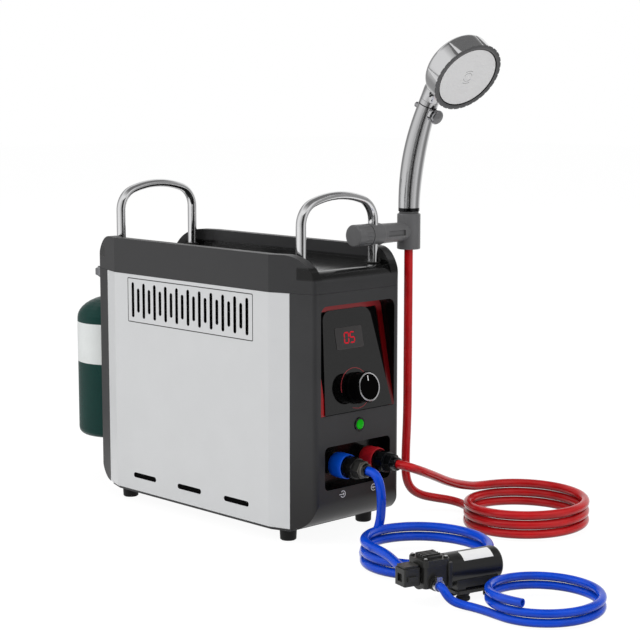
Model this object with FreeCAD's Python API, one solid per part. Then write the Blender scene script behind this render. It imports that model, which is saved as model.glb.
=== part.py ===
"""Portable propane water heater with shower, 12 V pump and hoses.

Millimetres, +Z up. The origin is on the ground, at the centre of the four feet.
+X points out of the control end, -Y out of the vented side, and the gas cylinder
hangs behind the -X end.
"""
import FreeCAD, Part
import math
import os

Vec = FreeCAD.Vector

# ---------------------------------------------------------------- casing
CASING_LENGTH = 377.3
CASING_WIDTH = 164.0
SIDE_FLAT_LENGTH = 268.4
END_FLAT_WIDTH = 127.6
END_CORNER_RADIUS = 7.0
CASING_BOTTOM = 17.5
SEAM_HEIGHT = 274.5
SEAM_GAP = 0.3
MOULDING_WALL = 2.5
PANEL_SHEET = 1.2
PANEL_END_X = 158.3
LOWER_END_RADIUS = 30.0

# ---------------------------------------------------------------- top cover
RIM_RISE = 40.5
RIM_TOP = SEAM_HEIGHT + RIM_RISE
RIM_WIDTH = 11.0
RIM_END_RADIUS = 38.0
TRAY_RISE = 22.5
TRAY_HEIGHT = SEAM_HEIGHT + TRAY_RISE
TRAY_END_RADIUS = 17.0
TRAY_LEDGE_WIDTH = 4.0
TRAY_LEDGE_RISE = 2.0

# ---------------------------------------------------------------- feet and base
FOOT_RADIUS = 9.5
FOOT_SPACING_X = 278.8
FOOT_SPACING_Y = 117.2
FOOT_HEIGHT = 14.0
BASE_SHEET = 1.5
BASE_FLANGE = 14.0
BASE_INSET = 1.5

# ---------------------------------------------------------------- side vents
VENT_PITCH = 9.96
VENT_COUNT = 21
VENT_FIRST_X = -99.6
VENT_SLOT_WIDTH = 4.8
VENT_LONG = (SEAM_HEIGHT - 50.5, SEAM_HEIGHT - 9.5)
VENT_SHORT = (VENT_LONG[0] + 6.3, VENT_LONG[1] - 6.5)
GRILLE_HALF_LENGTH = 111.0
GRILLE_Z = (SEAM_HEIGHT - 60.5, SEAM_HEIGHT - 3.0)
GRILLE_DEPTH = 8.0
GRILLE_SLATS = 7
GRILLE_FRAME = 3.0
SLAT_THICKNESS = 1.2
SLAT_ANGLE = 35.0
SLOT_ROUNDING = 0.999
INTAKE_X = (-82.0, -1.0, 80.0)
INTAKE_Z = 36.0
INTAKE_LENGTH = 41.5
INTAKE_HEIGHT = 6.0

# ---------------------------------------------------------------- carry handles
HANDLE_FRONT_X = 156.5
HANDLE_REAR_X = -154.7
HANDLE_LEG_Y = 55.0
HANDLE_LEG_RISE = 47.0
HANDLE_TURN_Z = TRAY_HEIGHT + HANDLE_LEG_RISE
HANDLE_CORNER_RADIUS = 26.0
HANDLE_CORNER_TURN = 72.0
HANDLE_SECTION = (13.0, 9.2)
HANDLE_STUD_RADIUS = 4.0
HANDLE_NUT_FLATS = 13.0
HANDLE_NUT_HEIGHT = 6.0

# ---------------------------------------------------------------- control recess
CONTROLS_Y = -1.0
RECESS_HALF_WIDTH = 56.5
RECESS_TOP_DROP = 13.8
RECESS_HEIGHT = 118.9
RECESS_Z = (SEAM_HEIGHT - RECESS_TOP_DROP - RECESS_HEIGHT, SEAM_HEIGHT - RECESS_TOP_DROP)
RECESS_CORNER = 9.0
RECESS_LOW_CORNER = 1.5
RECESS_TILT = 11.0
RECESS_LOW_DEPTH = 1.0
RECESS_WALL = 2.0
RECESS_REACH = 40.0
TRIM_WIDTH = 7.0
TRIM_TOP_WIDTH = 9.3
TRIM_THICKNESS = 1.5
TRIM_MARGIN = 0.25
TRIM_INNER_CORNER = 3.0
FASCIA_THICKNESS = 3.0
FASCIA_BOTTOM = 1.0
FASCIA_TOP_GAP = 7.1
FASCIA_HEIGHT = RECESS_HEIGHT - FASCIA_TOP_GAP
FASCIA_BOTTOM_HALF = 51.5
FASCIA_TOP_HALF = 35.5
FASCIA_TOP_CORNER = 12.0
WINDOW_SIZE = (41.5, 24.0)
WINDOW_DROP = 31.3
WINDOW_CENTRE_V = FASCIA_HEIGHT - WINDOW_DROP
WINDOW_THICKNESS = 2.2
WINDOW_POCKET = 1.6
WINDOW_FIT = 0.1
WINDOW_CORNER = 2.0
KNOB_CENTRE_V = 25.2
KNOB_RADIUS = 17.3
KNOB_LENGTH = 21.0
KNOB_GAP = 0.4
KNOB_FLUTES = 24
KNOB_SHAFT_RADIUS = 3.0
KNOB_SHAFT_DEPTH = 9.0
KNOB_MARK_RISE = (6.5, 12.5)
KNOB_MARK_HALF_WIDTH = 0.7
SHAFT_CLEARANCE = 0.05

# ---------------------------------------------------------------- power button
BUTTON_Y = 2.0
BUTTON_DROP = 14.8
BUTTON_Z = RECESS_Z[0] - BUTTON_DROP
BUTTON_RADIUS = 5.4
BUTTON_STAND = 2.4
BEZEL_RADIUS = 8.0
BEZEL_STAND = 1.2
BEZEL_NECK = 6.6
MOVING_GAP = 0.3

# ---------------------------------------------------------------- water connections
PORT_Y = 23.5
PORT_Z = 85.0
PORT_RECESS_HALF_WIDTH = 50.5
PORT_RECESS_Z = (60.3, 108.1)
PORT_RECESS_DEPTH = 18.0
PORT_RECESS_CORNER = 6.0
PORT_FLANGE_RADIUS = 12.5
PORT_BARREL_RADIUS = 10.0
PORT_TAIL_RADIUS = 8.0
COLLAR_RADIUS = 13.8
COLLAR_START_X = 178.2
COLLAR_END_X = 197.8
COLLAR_MOUTH_RADIUS = 12.2
COLLAR_MOUTH_DEPTH = 6.0
HOSE_NUT_START_X = 193.0
HOSE_NUT_END_X = 227.0

# ---------------------------------------------------------------- hoses
HOSE_RADIUS = 5.0
SUCTION_HOSE_RADIUS = 4.2
RED_COIL_CENTRE = (285.5, 171.4)
RED_COIL_RADIUS = 65.5
RED_COIL_HEIGHT = 40.5
FEED_COIL_CENTRE = (313.9, -25.2)
FEED_COIL_RADIUS = 64.5
FEED_COIL_HEIGHT = 32.6
SUCTION_COIL_CENTRE = (499.2, -62.0)
SUCTION_COIL_RADIUS = 53.4
SUCTION_COIL_HEIGHT = 27.4

# Routes of the free stretches, from one end to the other.
RED_OUT_ROUTE = (
    (227.0, 23.5, 85.0), (234.0, 23.5, 85.0), (242.0, 28.0, 83.0), (243.0, 42.0, 77.5),
    (239.0, 60.0, 70.5), (234.0, 80.0, 62.4), (229.0, 100.0, 54.2), (224.0, 122.0, 46.7),
    (220.5, 146.0, 40.0), (219.0, 162.0, 35.6), (219.6, 172.0, 35.4),
)
RED_RISER_ROUTE = (
    (230.0, 137.5, 5.2), (218.0, 152.0, 6.0), (205.0, 166.0, 7.6), (190.0, 171.0, 9.3),
    (175.0, 167.0, 11.5), (163.0, 155.0, 14.0), (156.0, 139.0, 18.5), (153.2, 124.5, 27.0),
    (153.2, 115.0, 41.0), (154.4, 112.2, 64.0), (156.3, 113.0, 115.0), (156.5, 113.0, 150.0),
    (156.5, 113.0, 309.6),
)
FEED_ROUTE = (
    (227.0, -23.5, 85.0), (234.0, -23.5, 85.0), (241.5, -23.4, 80.0), (245.5, -22.5, 66.0),
    (244.2, -20.5, 48.0), (240.6, -18.8, 31.0), (238.4, -23.0, 18.0), (239.0, -36.0, 9.0),
    (245.0, -49.0, 5.4), (254.0, -60.0, 5.2),
)
PUMP_FEED_ROUTE = (
    (298.5, -87.9, 27.0), (314.0, -92.0, 26.9), (331.0, -97.8, 25.8), (347.6, -105.2, 23.6),
    (363.5, -111.4, 22.0), (383.74, -116.46, 22.0),
)
SUCTION_ROUTE = (
    (418.86, -125.28, 22.0), (427.0, -127.32, 22.0), (432.0, -126.2, 14.5), (436.0, -121.5, 8.5),
    (443.0, -116.0, 5.8), (454.0, -112.5, 5.0), (467.0, -112.0, 4.6), (480.0, -112.5, 4.4),
)

# ---------------------------------------------------------------- gas side
CYLINDER_RADIUS = 49.0
CYLINDER_GAP = 1.0
GAS_PORT_DROP = 28.5
GAS_PORT_Z = SEAM_HEIGHT - GAS_PORT_DROP
NECK_TOP = GAS_PORT_Z - 3.0
CYLINDER_SHOULDER = NECK_TOP - 40.0
CYLINDER_BODY = 147.0
CYLINDER_BOTTOM = CYLINDER_SHOULDER - CYLINDER_BODY
CYLINDER_DOME_HEIGHT = 28.0
CYLINDER_FOOT_CORNER = 8.0
CYLINDER_WALL = 1.4
NECK_RADIUS = 12.7
REGULATOR_DISC_RADIUS = 25.5
REGULATOR_DISC_Z = (NECK_TOP + 13.0, NECK_TOP + 22.0)
REGULATOR_TOP = NECK_TOP + 28.5
REGULATOR_WAIST = 19.5
GAS_PIPE_RADIUS = 5.0

# ---------------------------------------------------------------- shower holder
HOLDER_RISE = 32.0
HOLDER_Z = TRAY_HEIGHT + HOLDER_RISE
CLAMP_KNOB_Y = (23.6, 46.2)
CLAMP_KNOB_RADIUS = 12.3
CLAMP_BAND_END_Y = 63.5
CLAMP_ARM_RADIUS = 11.2
CRADLE_Y = 113.0
CRADLE_HALF = 20.0
CRADLE_Z = (HOLDER_Z - CRADLE_HALF, HOLDER_Z + CRADLE_HALF)
CRADLE_RADIUS = 13.2
CRADLE_BORE = 10.2
CRADLE_SLOT = 10.6
CONE_RADIUS = 9.9

# ---------------------------------------------------------------- handset
HANDSET_BOTTOM = CRADLE_Z[1] + 3.0
SPIGOT_RADIUS = 6.0
SPIGOT_LENGTH = 10.0
HANDLE_BEND_RADIUS = 270.0
HANDLE_BEND_ANGLE = 27.5
HANDLE_SIZES = ((0.0, 12.0), (7.0, 12.6), (14.0, 12.7), (21.0, 11.8), (27.5, 10.9))
HEAD_REACH = (56.79, 24.03)
HEAD_TILT = 35.5
HEAD_RIM_RADIUS = 43.1
HEAD_RIM_DEPTH = 5.0
HEAD_DRUM_RADIUS = 41.2
HEAD_DEPTH = 25.0
HEAD_WALL = 2.4
SPRAY_RADIUS = 37.2
RIM_NOTCHES = 30
STOP_ANGLE = 24.74
STOP_RADIUS = 8.2
STOP_TRAVEL = 3.0
HANDLE_BORE_WALL = 3.0
STEM_RADIUS = 3.0
STOP_TAIL = 17.0
STOP_COLLAR_TOP = 13.4

# ---------------------------------------------------------------- pump
PUMP_ORIGIN = (391.8, -158.7)
PUMP_ANGLE = 75.9
MOTOR_RADIUS = 16.5
MOTOR_AXIS_Z = 29.3
MOTOR_SPAN = (58.0, 118.5)
HEAD_SPAN = (26.0, 57.0)
HEAD_HALF_WIDTH = 15.5
HEAD_Z = (15.0, 45.5)
SWITCH_SPAN = (8.0, 26.0)
SWITCH_HALF_WIDTH = 9.0
SWITCH_Z = (21.5, 41.0)
PUMP_PORT_A = 39.0
PUMP_PORT_Z = 22.0
BARB_REACH = 2.6
CLIP_WIDTH = 4.0
PUMP_FOOT_A = (74.3, 106.3)
PUMP_FOOT_B = 10.5
PUMP_FOOT_RADIUS = 7.0
PUMP_FOOT_HEIGHT = 8.0

# ---------------------------------------------------------------- inner works
CHAMBER_HALF = (78.0, 40.0)
HOOD_Z = (SEAM_HEIGHT - 58.5, SEAM_HEIGHT - 5.5)
EXCHANGER_Z = (HOOD_Z[0] - 30.0, HOOD_Z[0])
CHAMBER_Z = (EXCHANGER_Z[0] - 90.0, EXCHANGER_Z[0])
BURNER_Z = (CHAMBER_Z[0] - 26.0, CHAMBER_Z[0] - 4.0)
BURNER_BARS = 8
PIPE_X = 96.0
IGNITER_RISE = 12.0
IGNITER_RADIUS = 2.2
DUCT_SHEET = 1.2
CHAMBER_FLANGE = 5.0
HOOD_OVERHANG = 22.0
GAS_VALVE_X = (-128.0, -92.0)
SOLENOID_HEIGHT = 26.0
GAS_PIPE_JOGS = (60.0, 20.0)
GAS_PIPE_BEND = 10.0
MANIFOLD_INSET = 13.0
WATER_PIPE_RADIUS = 5.0
WATER_PIPE_BEND = 12.0
FLOW_SENSOR_X = (120.0, 150.0)
BOARD_SETBACK = 12.0
BOARD_THICKNESS = 1.6
BATTERY_X = 60.0
BATTERY_Y = (46.0, 74.0)
BATTERY_HEIGHT = 36.0
CELL_RADIUS = 11.6

# ---------------------------------------------------------------- derived places
END_X = CASING_LENGTH / 2
SIDE_Y = CASING_WIDTH / 2
FLAT_X = SIDE_FLAT_LENGTH / 2
END_Y = END_FLAT_WIDTH / 2
CYLINDER_X = -(END_X + CYLINDER_GAP + CYLINDER_RADIUS)
TILT = math.radians(RECESS_TILT)
RECESS_RISE = (RECESS_Z[1] - RECESS_Z[0]) / math.cos(TILT)

os.makedirs("parts", exist_ok=True)
NODES = {}


def add(name, shape):
    """Write one node's STEP file."""
    if shape.ShapeType == "Compound" and len(shape.Solids) == 1:
        shape = shape.Solids[0]
    NODES[name] = shape
    shape.exportStep(f"parts/{name}.step")


# ================================================================ shape helpers
def rounded_wire(points, radii, z=0.0):
    """Closed wire in the XY plane, with each corner rounded by its own radius."""
    count = len(points)
    if not isinstance(radii, (list, tuple)):
        radii = [radii] * count
    corners = [Vec(px, py, z) for px, py in points]
    starts = []
    ends = []
    middles = []
    for index in range(count):
        corner = corners[index]
        before = (corners[index - 1] - corner).normalize()
        after = (corners[(index + 1) % count] - corner).normalize()
        half = before.getAngle(after) / 2
        radius = radii[index]
        reach = radius / math.tan(half)
        starts.append(corner + before * reach)
        ends.append(corner + after * reach)
        bisector = (before + after).normalize()
        middles.append(corner + bisector * (radius / math.sin(half) - radius))
    edges = []
    for index in range(count):
        if radii[index] > 0:
            edges.append(Part.Arc(starts[index], middles[index], ends[index]).toShape())
        following = starts[(index + 1) % count]
        if (following - ends[index]).Length > 1e-6:
            edges.append(Part.LineSegment(ends[index], following).toShape())
    return Part.Wire(edges)


def prism(points, radii, z_low, z_high):
    """Upright prism over a rounded outline."""
    face = Part.Face(rounded_wire(points, radii, z_low))
    return face.extrude(Vec(0, 0, z_high - z_low))


def rectangle(half_x, half_y, centre=(0.0, 0.0)):
    """Four corners of a rectangle, counterclockwise."""
    cx, cy = centre
    return [
        (cx - half_x, cy - half_y), (cx + half_x, cy - half_y),
        (cx + half_x, cy + half_y), (cx - half_x, cy + half_y),
    ]


def box(x_span, y_span, z_span):
    """Axis-aligned block between three spans."""
    size = [abs(span[1] - span[0]) for span in (x_span, y_span, z_span)]
    corner = Vec(min(x_span), min(y_span), min(z_span))
    return Part.makeBox(size[0], size[1], size[2], corner)


def rod(radius, start, end):
    """Round bar between two points."""
    start = Vec(*start)
    run = Vec(*end) - start
    return Part.makeCylinder(radius, run.Length, start, run)


def turned(profile, origin, axis):
    """Solid of revolution. The profile lists (radius, distance along the axis)."""
    axis = Vec(*axis).normalize()
    side = axis.cross(Vec(0, 1, 0))
    if side.Length < 0.1:
        side = axis.cross(Vec(1, 0, 0))
    side.normalize()
    origin = Vec(*origin)
    points = [origin + side * r + axis * s for r, s in profile]
    wire = Part.makePolygon(points + [points[0]])
    return Part.Face(wire).revolve(origin, axis, 360)


def extruded_y(points, radii, y_low, y_high):
    """Prism along Y over an outline given in X and Z."""
    shape = prism(points, radii, -y_high, -y_low)
    shape.rotate(Vec(0, 0, 0), Vec(1, 0, 0), 90)
    return shape


def extruded_x(points, radii, x_low, x_high):
    """Prism along X over an outline given in Y and Z."""
    shape = prism(points, radii, x_low, x_high)
    turn = FreeCAD.Rotation(Vec(0, 1, 0), Vec(0, 0, 1), Vec(1, 0, 0), "XYZ")
    shape.Placement = FreeCAD.Placement(Vec(0, 0, 0), turn)
    return shape


def fuse(shapes):
    """Join touching solids into one."""
    first = shapes[0]
    rest = list(shapes[1:])
    if not rest:
        return first
    return first.fuse(rest).removeSplitter()


def group(shapes):
    """Separate solids kept in one node."""
    return Part.makeCompound(shapes)


def hexagon(flats):
    """Corner points of a hexagon across its flats."""
    reach = flats / math.sqrt(3)
    return [(reach * math.cos(math.radians(60 * k)), reach * math.sin(math.radians(60 * k)))
            for k in range(6)]


def aimed(shape, origin, x_axis, z_axis):
    """Place a shape modelled at the origin with its X and Z along two directions."""
    z_dir = Vec(*z_axis).normalize()
    x_dir = Vec(*x_axis).normalize()
    turn = FreeCAD.Rotation(x_dir, z_dir.cross(x_dir), z_dir, "ZXY")
    shape.Placement = FreeCAD.Placement(Vec(*origin), turn)
    return shape


# ================================================================ casing
def casing_points(offset):
    """Plan outline of the casing, moved inwards by an offset."""
    run_x = END_X - FLAT_X
    run_y = SIDE_Y - END_Y
    length = math.hypot(run_x, run_y)
    nx = run_y / length
    ny = run_x / length
    reach = nx * FLAT_X + ny * SIDE_Y - offset
    half_x = END_X - offset
    half_y = SIDE_Y - offset
    ax = (reach - ny * half_y) / nx
    by = (reach - nx * half_x) / ny
    return [
        (-ax, -half_y), (ax, -half_y), (half_x, -by), (half_x, by),
        (ax, half_y), (-ax, half_y), (-half_x, by), (-half_x, -by),
    ]


def casing_prism(offset, z_low, z_high):
    """Plan outline of the casing raised between two heights."""
    end = max(END_CORNER_RADIUS - offset, 1.0)
    radii = [0, 0, end, end, 0, 0, end, end]
    return prism(casing_points(offset), radii, z_low, z_high)


def end_block(offset, inner_x):
    """Rounded end of the casing beyond inner_x, on the +X side."""
    top = SEAM_HEIGHT - SEAM_GAP - offset
    bottom = CASING_BOTTOM + offset
    radius = LOWER_END_RADIUS - offset
    side = extruded_y(
        [(inner_x, bottom), (END_X - offset, bottom), (END_X - offset, top), (inner_x, top)],
        [0, radius, 0, 0], -SIDE_Y, SIDE_Y)
    return casing_prism(offset, bottom, top).common(side)


def end_housing():
    """Plain moulded end shell, open towards the middle of the casing."""
    start_x = PANEL_END_X + SEAM_GAP
    outer = end_block(0.0, start_x)
    inner = end_block(MOULDING_WALL, start_x - 1.0)
    return outer.cut(inner)


def panel_frame_placement():
    """Frame of the inclined control panel: X across, Y up the slope, Z out of it."""
    out = Vec(math.cos(TILT), 0, math.sin(TILT))
    up = Vec(-math.sin(TILT), 0, math.cos(TILT))
    turn = FreeCAD.Rotation(Vec(0, 1, 0), up, out, "ZXY")
    return FreeCAD.Placement(Vec(END_X - RECESS_LOW_DEPTH, 0, RECESS_Z[0]), turn)


def on_panel(shape):
    """Move a shape from panel coordinates to the casing."""
    moved = shape.copy()
    moved.Placement = panel_frame_placement().multiply(shape.Placement)
    return moved


def slope_front(setback):
    """Space in front of the control panel's plane, moved back by a setback."""
    lean = math.tan(TILT)
    low_x = END_X - RECESS_LOW_DEPTH - setback / math.cos(TILT)
    low_z = RECESS_Z[0] - 20.0
    high_z = RECESS_Z[1] + 20.0
    return extruded_y(
        [(low_x + 20.0 * lean, low_z), (END_X + 30.0, low_z), (END_X + 30.0, high_z),
         (low_x - (high_z - RECESS_Z[0]) * lean, high_z)],
        0, -SIDE_Y, SIDE_Y)


def recess_space(grow, high_x):
    """Space of the control recess up to high_x, grown sideways by a margin."""
    mid_z = (RECESS_Z[0] + RECESS_Z[1]) / 2
    half_z = (RECESS_Z[1] - RECESS_Z[0]) / 2
    mouth = rectangle(RECESS_HALF_WIDTH + grow, half_z + grow, (0.0, mid_z))
    low = RECESS_LOW_CORNER + max(grow, 0.0)
    high = RECESS_CORNER + grow
    return extruded_x(mouth, [low, low, high, high], END_X - RECESS_REACH, high_x)


def front_housing():
    """End shell with the inclined control recess and the connection recess."""
    shell = end_housing()
    face_x = END_X - MOULDING_WALL / 2
    pocket = recess_space(0.0, END_X + 10.0).common(slope_front(0.0))
    liner = recess_space(RECESS_WALL, face_x).common(slope_front(RECESS_WALL))
    port_mid = (PORT_RECESS_Z[0] + PORT_RECESS_Z[1]) / 2
    port_half = (PORT_RECESS_Z[1] - PORT_RECESS_Z[0]) / 2
    port_floor = END_X - PORT_RECESS_DEPTH
    port_mouth = rectangle(PORT_RECESS_HALF_WIDTH, port_half, (0.0, port_mid))
    port_lining = rectangle(PORT_RECESS_HALF_WIDTH + RECESS_WALL, port_half + RECESS_WALL,
                            (0.0, port_mid))
    port_pocket = extruded_x(port_mouth, PORT_RECESS_CORNER, port_floor, END_X + 10.0)
    port_liner = extruded_x(port_lining, PORT_RECESS_CORNER + RECESS_WALL,
                            port_floor - MOULDING_WALL, face_x)
    body = shell.fuse([liner, port_liner])
    cuts = [pocket, port_pocket]
    for side in (-1, 1):
        cuts.append(rod(PORT_TAIL_RADIUS + SEAM_GAP, (port_floor - 5.0, side * PORT_Y, PORT_Z),
                        (port_floor + 5.0, side * PORT_Y, PORT_Z)))
    cuts.append(rod(BEZEL_NECK + 0.1, (END_X - 6.0, BUTTON_Y, BUTTON_Z), (END_X + 1.0, BUTTON_Y, BUTTON_Z)))
    shaft_hole = Part.makeCylinder(KNOB_SHAFT_RADIUS + 0.6, 12.0, Vec(CONTROLS_Y, KNOB_CENTRE_V, -8.0))
    cuts.append(on_panel(shaft_hole))
    return body.cut(cuts).removeSplitter()


def rear_housing():
    """Mirrored end shell with a hole for the gas pipe."""
    shell = end_housing().mirror(Vec(0, 0, 0), Vec(1, 0, 0))
    hole = rod(GAS_PIPE_RADIUS + SEAM_GAP, (-END_X - 5.0, 0, GAS_PORT_Z), (-END_X + 10.0, 0, GAS_PORT_Z))
    return shell.cut(hole)


def slot_along_z(x, z_span, width):
    """Upright slot with round ends, cut through a side panel."""
    radius = width / 2
    middle = (z_span[0] + z_span[1]) / 2
    half = (z_span[1] - z_span[0]) / 2
    return extruded_y(rectangle(radius, half, (x, middle)), radius * SLOT_ROUNDING,
                      -SIDE_Y - 5.0, -SIDE_Y + 5.0)


def side_panel(vented):
    """Folded sheet that wraps the -Y side and part of both angled corners."""
    low = CASING_BOTTOM
    high = SEAM_HEIGHT - SEAM_GAP
    sheet = casing_prism(0.0, low, high).cut(casing_prism(PANEL_SHEET, low - 1, high + 1))
    keep = box((-PANEL_END_X, PANEL_END_X), (-SIDE_Y - 1, 0), (low, high))
    panel = sheet.common(keep)
    cuts = []
    for x in INTAKE_X:
        outline = rectangle(INTAKE_LENGTH / 2, INTAKE_HEIGHT / 2, (x, INTAKE_Z))
        cuts.append(extruded_y(outline, INTAKE_HEIGHT / 2 * SLOT_ROUNDING,
                               -SIDE_Y - 5.0, -SIDE_Y + 5.0))
    if vented:
        for index in range(VENT_COUNT):
            span = VENT_LONG if index % 2 == 0 else VENT_SHORT
            cuts.append(slot_along_z(VENT_FIRST_X + index * VENT_PITCH, span, VENT_SLOT_WIDTH))
    return panel.cut(cuts)


def vent_grille():
    """Shallow dark frame with sloping slats, fixed behind the vent slots."""
    back_y = -SIDE_Y + PANEL_SHEET
    half = GRILLE_HALF_LENGTH
    low, high = GRILLE_Z
    front = box((-half, half), (back_y, back_y + GRILLE_DEPTH), GRILLE_Z)
    opening = half - GRILLE_FRAME
    hole = box((-opening, opening), (back_y - 1, back_y + GRILLE_DEPTH + 1),
               (low + GRILLE_FRAME, high - GRILLE_FRAME))
    pieces = [front.cut(hole)]
    pitch = (high - low - 2 * GRILLE_FRAME) / (GRILLE_SLATS + 1)
    reach = GRILLE_DEPTH * 0.45
    for index in range(GRILLE_SLATS):
        z = low + GRILLE_FRAME + pitch * (index + 1)
        slat = box((-opening - 1, opening + 1), (-reach, reach), (-SLAT_THICKNESS / 2, SLAT_THICKNESS / 2))
        slat.rotate(Vec(0, 0, 0), Vec(1, 0, 0), SLAT_ANGLE)
        slat.translate(Vec(0, back_y + GRILLE_DEPTH / 2, z))
        pieces.append(slat)
    return fuse(pieces)


def base_pan():
    """Folded sheet pan that carries the feet and closes the underside."""
    x_limit = PANEL_END_X - 2.0
    low = FOOT_HEIGHT
    outer = casing_prism(PANEL_SHEET + BASE_INSET, low, low + BASE_FLANGE)
    inner = casing_prism(PANEL_SHEET + BASE_INSET + BASE_SHEET, low + BASE_SHEET, low + BASE_FLANGE + 1)
    span = box((-x_limit, x_limit), (-SIDE_Y, SIDE_Y), (low, low + BASE_FLANGE))
    pan = outer.cut(inner).common(span)
    ledge_outer = casing_prism(PANEL_SHEET, CASING_BOTTOM + 4, CASING_BOTTOM + 4 + BASE_SHEET)
    ledge_inner = casing_prism(PANEL_SHEET + BASE_INSET + BASE_SHEET / 2, CASING_BOTTOM, CASING_BOTTOM + 9)
    ledge = ledge_outer.cut(ledge_inner).common(span)
    return fuse([pan, ledge])


def feet():
    """Four moulded rubber feet."""
    profile = [(0, 0), (FOOT_RADIUS - 1.5, 0), (FOOT_RADIUS - 0.5, 1.0), (FOOT_RADIUS, FOOT_HEIGHT - 3),
               (FOOT_RADIUS, FOOT_HEIGHT), (0, FOOT_HEIGHT)]
    return group([turned(profile, (sx * FOOT_SPACING_X / 2, sy * FOOT_SPACING_Y / 2, 0), (0, 0, 1))
                  for sx in (-1, 1) for sy in (-1, 1)])


def rounded_side(top, radius, low):
    """Side view of the cover: flat top that rolls down to the seam at both ends."""
    return [(-END_X, low), (END_X, low), (END_X, top), (-END_X, top)], [0, 0, radius, radius]


def tray_plan(inset, reach):
    """Plan of the space between the rims, open at both ends."""
    corners = casing_points(inset)
    ax, half_y = corners[4]
    half_x, by = corners[3]
    slope = (half_y - by) / (half_x - ax)
    end_y = half_y - slope * (reach - ax)
    return [(-reach, -end_y), (-ax, -half_y), (ax, -half_y), (reach, -end_y),
            (reach, end_y), (ax, half_y), (-ax, half_y), (-reach, end_y)]


def top_cover():
    """Cover with two raised side rims, a sunk tray and rolled ends."""
    low = SEAM_HEIGHT
    outline, radii = rounded_side(RIM_TOP, RIM_END_RADIUS, low)
    body = casing_prism(0.0, low, RIM_TOP).common(extruded_y(outline, radii, -SIDE_Y, SIDE_Y))
    reach = END_X + 5.0
    between = prism(tray_plan(RIM_WIDTH, reach), 0, low - 1, RIM_TOP + 1)
    tray_outline, tray_radii = rounded_side(TRAY_HEIGHT, TRAY_END_RADIUS, low - 5.0)
    below_tray = extruded_y(tray_outline, tray_radii, -SIDE_Y, SIDE_Y)
    body = body.cut(between.cut(below_tray))
    hollow = casing_prism(MOULDING_WALL, low - 1, TRAY_HEIGHT - MOULDING_WALL)
    hollow_span = box((-END_X + TRAY_END_RADIUS + 2, END_X - TRAY_END_RADIUS - 2), (-SIDE_Y, SIDE_Y),
                      (low - 1, TRAY_HEIGHT))
    body = body.cut(hollow.common(hollow_span))
    inner = tray_plan(RIM_WIDTH + TRAY_LEDGE_WIDTH, reach)
    ledge = between.cut(prism(inner, 0, low, RIM_TOP + 2))
    ledge_span = box((-FLAT_X - 8, FLAT_X + 8), (-SIDE_Y, SIDE_Y),
                     (TRAY_HEIGHT - 1, TRAY_HEIGHT + TRAY_LEDGE_RISE))
    body = fuse([body, ledge.common(ledge_span)])
    holes = []
    for x in (HANDLE_FRONT_X, HANDLE_REAR_X):
        for y in (-HANDLE_LEG_Y, HANDLE_LEG_Y):
            holes.append(rod(HANDLE_STUD_RADIUS + 0.2, (x, y, low), (x, y, TRAY_HEIGHT + 9)))
    return body.cut(holes)


def ellipse_face(centre, normal, x_dir, half_x, half_y):
    """Elliptical face, half_x along x_dir."""
    curve = Part.Ellipse(Vec(0, 0, 0), half_x, half_y)
    face = Part.Face(Part.Wire([curve.toShape()]))
    return aimed(face, centre, x_dir, normal)


def carry_handle(x):
    """Oval bar bent into a three-centred arch, with a stud and nut under each leg."""
    half_x = HANDLE_SECTION[0] / 2
    half_y = HANDLE_SECTION[1] / 2
    turn = math.radians(HANDLE_CORNER_TURN)
    corner_y = HANDLE_LEG_Y - HANDLE_CORNER_RADIUS
    join_y = corner_y + HANDLE_CORNER_RADIUS * math.cos(turn)
    join_z = HANDLE_TURN_Z + HANDLE_CORNER_RADIUS * math.sin(turn)
    crown_radius = join_y / math.cos(turn)
    crown_z = join_z - crown_radius * math.sin(turn)
    along_x = (1, 0, 0)
    pieces = []
    for side in (-1, 1):
        y = side * HANDLE_LEG_Y
        section = ellipse_face((x, y, TRAY_HEIGHT), (0, 0, 1), along_x, half_x, half_y)
        pieces.append(section.extrude(Vec(0, 0, HANDLE_TURN_Z - TRAY_HEIGHT)))
        bend = ellipse_face((x, y, HANDLE_TURN_Z), (0, 0, 1), along_x, half_x, half_y)
        centre = Vec(x, side * corner_y, HANDLE_TURN_Z)
        pieces.append(bend.revolve(centre, Vec(side, 0, 0), HANDLE_CORNER_TURN))
        pieces.append(rod(HANDLE_STUD_RADIUS, (x, y, SEAM_HEIGHT + 6), (x, y, TRAY_HEIGHT + 1)))
        nut = prism(hexagon(HANDLE_NUT_FLATS), 0, 0, HANDLE_NUT_HEIGHT)
        nut_top = TRAY_HEIGHT - MOULDING_WALL
        nut.translate(Vec(x, y, nut_top - HANDLE_NUT_HEIGHT))
        pieces.append(nut)
    heading = (0, math.sin(turn), -math.cos(turn))
    start = ellipse_face((x, join_y, join_z), heading, along_x, half_x, half_y)
    pieces.append(start.revolve(Vec(x, 0, crown_z), Vec(1, 0, 0), 180 - 2 * HANDLE_CORNER_TURN))
    return fuse(pieces)


# ================================================================ controls
def fascia_outline(grow):
    """Tapering outline of the raised plate, in panel coordinates."""
    low_half = FASCIA_BOTTOM_HALF + grow
    top_half = FASCIA_TOP_HALF + grow
    return [(-low_half, FASCIA_BOTTOM - grow), (low_half, FASCIA_BOTTOM - grow),
            (top_half, FASCIA_HEIGHT + grow), (-top_half, FASCIA_HEIGHT + grow)]


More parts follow.
